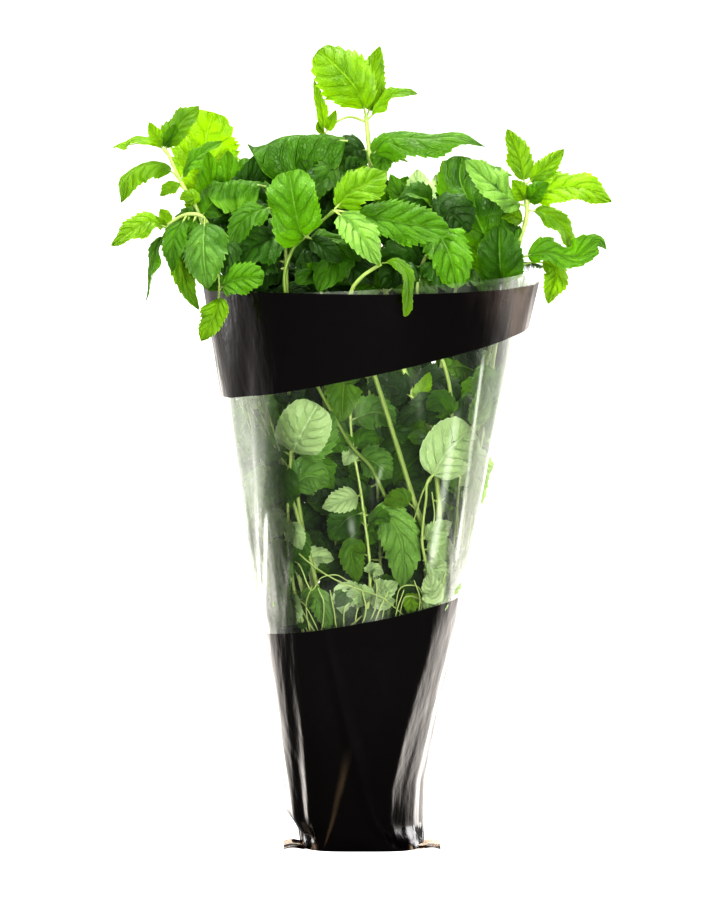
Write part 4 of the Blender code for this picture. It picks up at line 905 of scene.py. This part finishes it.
stem_piece(
    "window_middle_sprig", (-3, -19),
    [(366, 620, -28), (370, 570, -32), (362, 500, -24), (352, 440, -20), (350, 400, -22)],
    radius=1.0, shoot_radius=0.6,
    shoots=[[(368, 600, -30), (358, 608, -36), (354, 632, -32)],
            [(368, 602, -29), (376, 606, -36), (366, 630, -32)],
            [(369, 590, -30), (384, 600, -38), (380, 630, -32)],
            [(369, 596, -30), (346, 606, -38), (344, 634, -32)],
            [(366, 618, -28), (372, 628, -38), (381, 606, -42), (388, 592, -42)],
            [(366, 618, -28), (360, 632, -38), (366, 610, -42), (362, 590, -42)],
            [(367, 612, -28), (390, 628, -38), (398, 606, -42), (404, 590, -40)],
            [(367, 612, -28), (340, 632, -38), (334, 610, -42), (330, 590, -42)],
            [(370, 575, -32), (377, 586, -40), (375, 606, -38)]],
    leaves=[("pale", (368, 604, -29), (360, 596, -40), (346, 594, -42), 14, FORWARD, 0.2),
            ("pale", (368, 600, -30), (346, 594, -38), (342, 614, -36), 14, FORWARD, 0.4),
            ("pale", (369, 590, -30), (384, 590, -40), (398, 582, -42), 13, FORWARD, 0.3),
            ("pale", (369, 596, -30), (384, 602, -38), (396, 600, -38), 10, FORWARD, 0.3),
            ("pale", (370, 575, -32), (374, 570, -40), (384, 574, -40), 9, FORWARD, 0.5),
            ("bright", (369, 556, -30), (352, 552, -36), (358, 582, -38), 14, FORWARD, 0.05),
            ("cool", (364, 515, -26), [(388, 518, -30), (402, 545, -30)], (402, 588, -26), 22,
             FORWARD, 0.6),
            ("pale", (361, 495, -24), (344, 500, -32), (322, 508, -34), 14, (0, -1, 0.3), 0.3),
            ("mid", (364, 512, -26), (346, 520, -30), (330, 540, -30), 18, FORWARD, 0.1),
            ("cool", (356, 460, -21), (374, 462, -26), (392, 478, -26), 18, FORWARD, 0.1),
            ("pale", (354, 450, -20), (350, 455, -30), (344, 466, -32), 10, FORWARD, 0.3),
            ("cool", (351, 420, -21), (376, 412, -24), (396, 424, -24), 19, FORWARD, 0.1),
            ("bright", (351, 392, -21), (344, 386, -34), (342, 422, -40), 20, (0, -1, 0.4), 0.1)],
    pairs=climbing(0.4, 0.85, 3, 24, 15, 40, "mid"), shade=0.9)
stem_piece(
    "window_deep_sprig", (6, 8), [(380, 600, 6), (378, 500, 4), (372, 420, 4), (366, 360, 4)],
    radius=1.0,
    leaves=[("deep", (379, 520, 5), (350, 500, -8), (322, 480, -10), 24, FORWARD, 0.5),
            ("mid", (378, 500, 4), (405, 470, 0), (425, 450, 0), 24, FORWARD, 0.0),
            ("deep", (376, 470, 4), (350, 440, 2), (330, 400, 2), 24, FORWARD, 0.5),
            ("mid", (375, 450, 4), (392, 430, 0), (416, 420, 0), 20, FORWARD, 0.1),
            ("deep", (379, 540, 5), (404, 540, 0), (428, 556, 0), 24, FORWARD, 0.5),
            ("deep", (379, 560, 5), (350, 560, -6), (322, 580, -6), 22, FORWARD, 0.5),
            ("deep", (379, 556, 5), (402, 562, 2), (436, 580, 2), 26, FORWARD, 0.5),
            ("deep", (375, 446, 4), (332, 448, 6), (284, 462, 8), 24, FORWARD, 0.5),
            ("mid", (377, 484, 4), (340, 500, 2), (306, 500, 4), 22, FORWARD, 0.2)],
    pairs=climbing(0.22, 0.95, 7, 34, 22, 20, "mid", "deep"))

# Sleeve
# Two sheets of thin clear film, welded up both sides into a tapering bag and folded flat under the pot.
# Two glossy black bands are printed on it: one round the mouth, cut on a slant, and one round the foot.
RIM_TILT = 5.0
PILLOW_FADE = (2.0, 10.0, 70.0, 130.0)  # heights over which the film pulls flat to its welds, and lets go
PILLOW_HEIGHTS = (35.0, 110.0)
PILLOW_LEFT = (4.6, 7.0)  # how flat the film stays towards the left weld at these heights
PILLOW_RIGHT = (2.7, 4.6)
SEAM_REACH = 3.5
EAR_REACH = 8.5
# The two layers of each folded corner: lift, curl, half depth at the root and the length tucked under
EARS = ((0.4, 0.5, 10.0, 7.0), (1.5, 1.4, 8.0, 5.0))
EAR_FORWARD = 16.0  # how far in front of the axis a folded corner lies, and how much further its tip does
EAR_SWEEP = 8.0
UPPER_BAND = (255.0, 0.22, 298.5)  # lower edge over the axis, its slope to the right, and upper edge
LOWER_BAND = (125.0, 0.19)
WINDOW_FOOT = 110.0
FILM_FOOT = 0.2

paint = Paint("printed_film")
x, y, z = (value * 1000.0 for value in paint.axes(paint.place()))
band_low = paint.step(z - x * UPPER_BAND[1], UPPER_BAND[0] - 0.3, UPPER_BAND[0] + 0.3)
upper = band_low * paint.step(z, UPPER_BAND[2] + 0.3, UPPER_BAND[2] - 0.3)
lower = paint.step(z - x * LOWER_BAND[1], LOWER_BAND[0] + 0.3, LOWER_BAND[0] - 0.3)
printed = paint.math("MAXIMUM", upper, lower)
streaks = paint.noise(55.0, 4.0, stretch=(1.0, 1.0, 0.12))
wrinkles = paint.noise(120.0, 3.0, stretch=(1.0, 1.0, 0.35))
crumple = paint.noise(28.0, 5.0, stretch=(1.0, 1.0, 0.5))
normal = paint.bump(streaks * 0.6 + wrinkles * 0.2 + crumple * 0.4, 0.002, 0.7)
gathered = paint.step(abs(x - 3.0), 22.0, 36.0) * paint.step(z, 200.0, 150.0)
pleats = paint.noise(110.0, 2.0, stretch=(1.0, 1.0, 0.12))
relief = streaks * 0.5 + wrinkles * 0.3 + crumple * 0.5 + gathered * pleats * 0.4
fine_normal = paint.bump(relief, 0.0022, 0.7)
# Painted sheen: a soft brown glow down the front crease of the lower band, for light that the folded film
# reflects there.
off_crease = abs(x + 18.0 - z * 0.24 + (crumple - 0.5) * 9.0)
painted_crease_sheen = paint.step(off_crease / (z * 0.07 + 0.5), 1.0, 0.0) * paint.step(z, 1.0, 8.0)
painted_crease_sheen = painted_crease_sheen * paint.step(z, 62.0, 30.0) * paint.step(y, 0.0, -10.0) * streaks
ink_and_sheen_color = paint.mix(painted_crease_sheen, (0.0022, 0.0013, 0.0010), (0.095, 0.068, 0.04))
# Paler brown streaks at both corners of the foot.
foot_corner_streaks = paint.step(z, 5.0, 2.0) * paint.step(abs(x - 3.0), 23.0, 29.0) * paint.step(wrinkles, 0.53, 0.6)
ink_and_sheen_color = paint.mix(foot_corner_streaks, ink_and_sheen_color, (0.35, 0.27, 0.2))
# Painted sheen: a light brown tone in streaks at the right end of the upper band, for light that the
# gathered film reflects there.
painted_upper_band_sheen = paint.step(x, 52.0, 84.0) * paint.step(z, 230.0, 262.0)
painted_upper_band_sheen = painted_upper_band_sheen * paint.step(streaks + crumple, 0.75, 1.2) * 0.8
ink_and_sheen_color = paint.mix(painted_upper_band_sheen, ink_and_sheen_color, (0.11, 0.082, 0.066))
# The ink's colour carries the painted sheen as well as the black print.
ink_and_sheen = paint.principled(Base_Color=ink_and_sheen_color, Roughness=0.2 - paint.step(z, 180.0, 230.0) * 0.02,
                       Specular=0.5, Normal=fine_normal)
# Painted light: the film's white veil glows a little of its own, so the haze and glare on it read bright.
glowing_veil = paint.principled(Base_Color=(0.93, 0.97, 0.86), Roughness=0.1, Specular=0.7, Normal=normal,
                        Emission_Color=(0.97, 1.0, 0.88, 1.0), Emission_Strength=0.4)
clear = paint.node("ShaderNodeBsdfTransparent", None, {"Color": (0.995, 1.0, 0.995, 1.0)})
edge_on = paint.node("ShaderNodeFresnel", None, {"IOR": 1.45, "Normal": normal})
# Haze in the film: partly its own milky scuffs, and partly painted glare, since the veil that it mixes in
# glows.
haze_and_glare = paint.step(crumple, 0.52, 0.75) * 0.08 + paint.step(streaks, 0.58, 0.8) * 0.06 + 0.01
# Painted glare where gathered film would catch the light, as streaks of glowing veil: x low on the window,
# lean, half width, both ends and strength
GLARES = (
    (-55.0, -0.10, 5.0, 120, 262, 0.6), (-33.0, -0.42, 6.0, 168, 236, 0.7),
    (-49.0, 0.03, 1.6, 118, 186, 0.7), (56.0, 0.16, 6.0, 140, 300, 0.45), (31.0, 0.16, 3.5, 150, 240, 0.3),
    (46.0, 0.12, 1.5, 150, 270, 0.4), (4.0, -0.10, 3.0, 168, 186, 0.35), (-12.0, 0.25, 2.0, 196, 214, 0.3),
)
front = paint.step(y, 5.0, -5.0)
above = z - WINDOW_FOOT
# Painted glare: the front film whitens in streaks towards both welds, for the bright sides that it would
# mirror.
towards_weld = abs(x - 1.2 - above * 0.037) / (52.8 + above * 0.188)
haze_and_glare = haze_and_glare + paint.step(towards_weld, 0.6, 1.0) * front * (streaks * 0.42 - 0.03)
for foot, lean, half, low, high, strength in GLARES:
    across = abs(x - above * lean - foot)
    stretch = paint.step(z, low, low + 14.0) * paint.step(z, high, high - 14.0)
    haze_and_glare = haze_and_glare + paint.step(across, half, 0.0) * stretch * front * (streaks * 1.6 - 0.25) * strength
# Painted reflection: the film turns to the glowing veil at grazing angles, and wherever haze and painted
# glare lie on it.
film = paint.blend(paint.math("ADD", edge_on * 0.7 - 0.028, haze_and_glare, clamp=True), clear, glowing_veil)
mirror = paint.node("ShaderNodeBsdfGlossy", None,
                    {"Color": (1.0, 1.0, 1.0, 1.0), "Roughness": 0.14, "Normal": fine_normal})
mirrored = paint.node("ShaderNodeFresnel", None, {"IOR": 1.5, "Normal": fine_normal})
film = paint.blend(mirrored, film, mirror)
printed_film = paint.finish(paint.blend(printed, film, ink_and_sheen))

paint = Paint("folded_corner")
creases = paint.noise(70.0, 1.0, stretch=(0.5, 1.0, 2.5))
color = paint.mix(paint.step(creases, 0.5, 0.56), (0.02, 0.009, 0.005), (0.55, 0.45, 0.36))
folded_corner = paint.finish(paint.principled(Base_Color=color, Roughness=0.15, Specular=0.7,
                                              Normal=paint.bump(creases, 0.001)))

paint = Paint("clear_seam")
welds = paint.noise(400.0, 2.0, stretch=(1.0, 1.0, 0.2))
gloss = paint.principled(Base_Color=(0.85, 0.87, 0.86), Roughness=0.15, Specular=0.6,
                         Normal=paint.bump(welds, 0.0004))
clear = paint.node("ShaderNodeBsdfTransparent", None, {"Color": (0.97, 0.98, 0.97, 1.0)})
seam_edge = paint.node("ShaderNodeFresnel", None, {"IOR": 1.4})
seam_shine = seam_edge * 0.8 + paint.step(welds, 0.5, 0.8) * 0.12 + 0.03
clear_seam = paint.finish(paint.blend(seam_shine, clear, gloss))

# Each fold of the film: its angle round the sleeve, its lean in degrees per millimetre of height, its
# width in degrees and how far it stands out in millimetres.
FOOT_FOLDS = (
    (299, 0.20, 4, 0.7), (312, 0.24, 7, -0.6), (325, 0.14, 4, 0.5), (333, 0.06, 3, -0.4),
    (340, 0.02, 3, 0.4), (348, -0.04, 4, -0.3), (228, 0.02, 6, -1.6), (214, 0.0, 5, 1.0),
    (204, 0.03, 3, -0.7), (268, -0.24, 2.5, 1.5), (60, 0.08, 5, 1.6), (48, 0.06, 4, -1.8),
    (110, -0.04, 4, 1.4), (124, -0.06, 4, -1.6), (85, 0.03, 3, -1.1),
)
MOUTH_FOLDS = (
    (318, 0.05, 6, 0.8), (330, 0.08, 4, -1.0), (341, 0.04, 4, 1.0), (350, 0.0, 4, -0.8),
    (202, 0.05, 8, 0.6), (292, 0.3, 3, 0.4), (40, 0.0, 8, 1.2), (58, 0.05, 5, -1.0), (130, -0.05, 6, 1.0),
)
WINDOW_FOLDS = (
    (204, 0.05, 4, 1.4), (212, 0.12, 4, -1.6), (222, 0.25, 4, 1.0), (330, -0.05, 4, 1.4),
    (338, 0.05, 4, -1.4), (346, 0.0, 3, 1.0), (250, 0.3, 3, 0.5), (300, -0.3, 3, 0.6), (40, 0.1, 6, 1.2),
    (95, 0.1, 5, -1.0), (140, -0.1, 5, 1.0),
)
RISE_AND_FALL = (0, 1, 1, 0)
# Each group of folds with the heights where it sets in, is full, fades and ends, and where its angles hold
FOLD_GROUPS = (
    (FOOT_FOLDS, (0, 12, 60, 150), 60),
    (MOUTH_FOLDS, (225, 275, 310, 320), 280),
    (WINDOW_FOLDS, (110, 150, 230, 290), 200),
)


def film_point(angle, height):
    """A point of the smooth sleeve, in millimetres: round at the mouth, pulled flat to its welds below."""
    left, right, depth, squareness = sleeve_section(height)
    power = 2 / squareness
    cosine, sine = np.cos(angle), np.sin(angle)
    across = np.sign(cosine) * np.abs(cosine) ** power
    pillow = np.interp(height, PILLOW_FADE, RISE_AND_FALL)
    bulge = (1 - pillow) * np.abs(sine) ** power
    flatness = np.where(across < 0, np.interp(height, PILLOW_HEIGHTS, PILLOW_LEFT),
                        np.interp(height, PILLOW_HEIGHTS, PILLOW_RIGHT))
    bulge = bulge + pillow * np.clip(1 - np.abs(across) ** flatness, 0, 1) ** 0.85
    lift = RIM_TILT * height / SLEEVE_SECTIONS[-1, 0] * across
    return np.stack([(left + right) / 2 + (right - left) / 2 * across, depth * np.sign(sine) * bulge,
                     height + lift], axis=-1)


def film_folds(angle, height):
    """How far the film stands out from its smooth form, in millimetres, on the front and the back."""
    turned = np.degrees(angle) % 360
    folds = 0.3 * np.sin(np.radians(turned * 9 + height * 0.4)) * np.clip(height / 60, 0, 1)
    for group, reach, level in FOLD_GROUPS:
        strength = np.interp(height, reach, RISE_AND_FALL)
        for middle, lean, width, tall in group:
            folds = folds + tall * strength * ridge(turned, middle + lean * (height - level), width)
    return folds


heights = np.concatenate([np.linspace(FILM_FOOT, 9, 5), np.linspace(12, SLEEVE_SECTIONS[-1, 0], 97)])
growth = Growth()
for first_angle in (math.pi, 0.0):
    angles = first_angle + np.linspace(0, math.pi, 145)
    rows = []
    for height in heights:
        row = film_point(angles, height)
        outward = row[:, :2] - [row[:, 0].mean(), 0]
        outward = outward / np.maximum(np.linalg.norm(outward, axis=1, keepdims=True), 1e-6)
        fade = np.clip(np.sin(angles - first_angle), 0, 1) ** 0.3
        row[:, :2] += outward * (film_folds(angles, height) * fade)[:, None]
        rows.append(row)
    sheet = np.array(rows) * MM
    growth.grid(sheet, np.zeros_like(sheet), 0)
for seam_angle, outward in ((math.pi, -1.0), (0.0, 1.0)):
    rows = []
    for height in heights:
        edge = film_point(np.array([seam_angle]), height)[0]
        sway = 0.5 * math.sin(height * 0.09)
        rows.append([edge + [SEAM_REACH * outward * share, sway * share, 0]
                     for share in (0.0, 0.33, 0.67, 1.0)])
    strip = np.array(rows) * MM
    growth.grid(strip, np.zeros_like(strip), 1)
    for lift, curl, half, tuck in EARS:
        rows = []
        for share in np.linspace(0, 1, 13):
            edge = film_point(np.array([seam_angle]), 0.6)[0]
            reach = (EAR_REACH + tuck) * share - tuck
            rise = lift + curl * share**2 - 0.4 * math.sin(share * 7)
            rows.append([edge + [reach * outward,
                                 (half - 3.0 * share) * side - EAR_FORWARD - EAR_SWEEP * share,
                                 max(0.3, rise + 0.4 * math.cos(side * 3 + share * 4))]
                         for side in np.linspace(-1, 1, 17)])
        ear = np.array(rows) * MM
        growth.grid(ear, np.zeros_like(ear), 2)
base = []
for share in np.linspace(0, 1, 25):
    front, back = (film_point(math.pi + side * np.linspace(0, math.pi, 49), FILM_FOOT) for side in (1, -1))
    base.append(front * (1 - share) + back * share)
base = np.array(base) * MM
growth.grid(base, np.zeros_like(base), 0)
sleeve = growth.piece("film_sleeve", [printed_film, clear_seam, folded_corner])
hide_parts("sleeve")

# Studio
# A plain white floor before a bright white backdrop, with soft lamps overhead and in front and a tall
# strip lamp on either side. The room behind the camera is dim, so the black film stays black. Two cards of
# light on the floor, one on either side, show in reflections alone and silver the folds of the film.
CARD_GLOW = 3.4
FLOOR_REACH = 3.0
paint = Paint("studio_white")
directly = paint.node("ShaderNodeLightPath", output="Is Camera Ray")
mirrored = paint.node("ShaderNodeLightPath", output="Is Glossy Ray")
x, y = paint.axes(paint.place(), "XY")
turned_back = y / paint.math("MAXIMUM", abs(x), 0.02)
card = paint.step(turned_back, -0.3, 0.1) * paint.step(turned_back, 5.0, 2.0)
card = card * paint.step(abs(x), 0.035, 0.075) * (paint.step(abs(x), 0.75, 0.35) * 0.85 + 0.15)
cloth = paint.node("ShaderNodeBsdfDiffuse", None, {"Color": (0.15, 0.15, 0.15, 1.0)})
white = paint.node("ShaderNodeEmission", None, {"Color": (1.0, 1.0, 1.0, 1.0), "Strength": 1.12})
lit_card = paint.node("ShaderNodeEmission", None, {"Color": (1.0, 0.95, 0.9, 1.0), "Strength": CARD_GLOW})
unseen = paint.blend(card * mirrored, cloth, lit_card)
studio_white = paint.finish(paint.blend(directly * 0.94, unseen, white))
corners = [(-FLOOR_REACH, -FLOOR_REACH, 0), (FLOOR_REACH, -FLOOR_REACH, 0),
           (FLOOR_REACH, FLOOR_REACH, 0), (-FLOOR_REACH, FLOOR_REACH, 0)]
floor_mesh = bpy.data.meshes.new("studio_floor")
floor_mesh.from_pydata(corners, [], [(0, 1, 2, 3)])
floor_mesh.materials.append(studio_white)
studio_floor = bpy.data.objects.new("studio_floor", floor_mesh)
bpy.context.scene.collection.objects.link(studio_floor)

BACKDROP_GLOW = 0.5
ROOM_GLOW = 0.04
SEEN_GLOW = 1.05
ROOM_TURN = (-0.25, 0.55)  # from front to back, where the dim room gives way to the backdrop
paint = Paint("studio", bpy.data.worlds)
direct = paint.node("ShaderNodeLightPath", output="Is Camera Ray")
towards_back = paint.axes(paint.node("ShaderNodeTexCoord", output="Generated"), "Y")[0]
glow = paint.step(towards_back, *ROOM_TURN) * (BACKDROP_GLOW - ROOM_GLOW) + ROOM_GLOW
sky = paint.node("ShaderNodeBackground", None,
                 {"Color": (1.0, 1.0, 1.0, 1.0), "Strength": direct * (SEEN_GLOW - glow) + glow})
bpy.context.scene.world = paint.finish(sky, "ShaderNodeOutputWorld")

LAMPS = (  # name, place, width, height, watts
    ("key_lamp", (-0.7, -1.2, 1.5), 0.4, 0.4, 34.0),
    ("front_lamp", (0.3, -2.2, 0.45), 0.5, 0.5, 60.0),
    ("left_strip_lamp", (-1.3, 0.5, 0.45), 0.45, 1.3, 14.0),
    ("right_strip_lamp", (1.3, 0.4, 0.45), 0.7, 1.3, 24.0),
    ("overhead_lamp", (0.1, 0.35, 1.6), 0.6, 0.6, 26.0),
)
for name, spot, width, height, power in LAMPS:
    lamp = bpy.data.lights.new(name, "AREA")
    lamp.shape = "RECTANGLE"
    lamp.size = width
    lamp.size_y = height
    lamp.energy = power
    holder = bpy.data.objects.new(name, lamp)
    holder.location = spot
    holder.rotation_euler = (VIEW_AIM - Vector(spot)).to_track_quat("-Z", "Y").to_euler()
    bpy.context.scene.collection.objects.link(holder)

bpy.context.scene.view_settings.view_transform = "Standard"
bpy.context.scene.view_settings.look = "Very High Contrast"
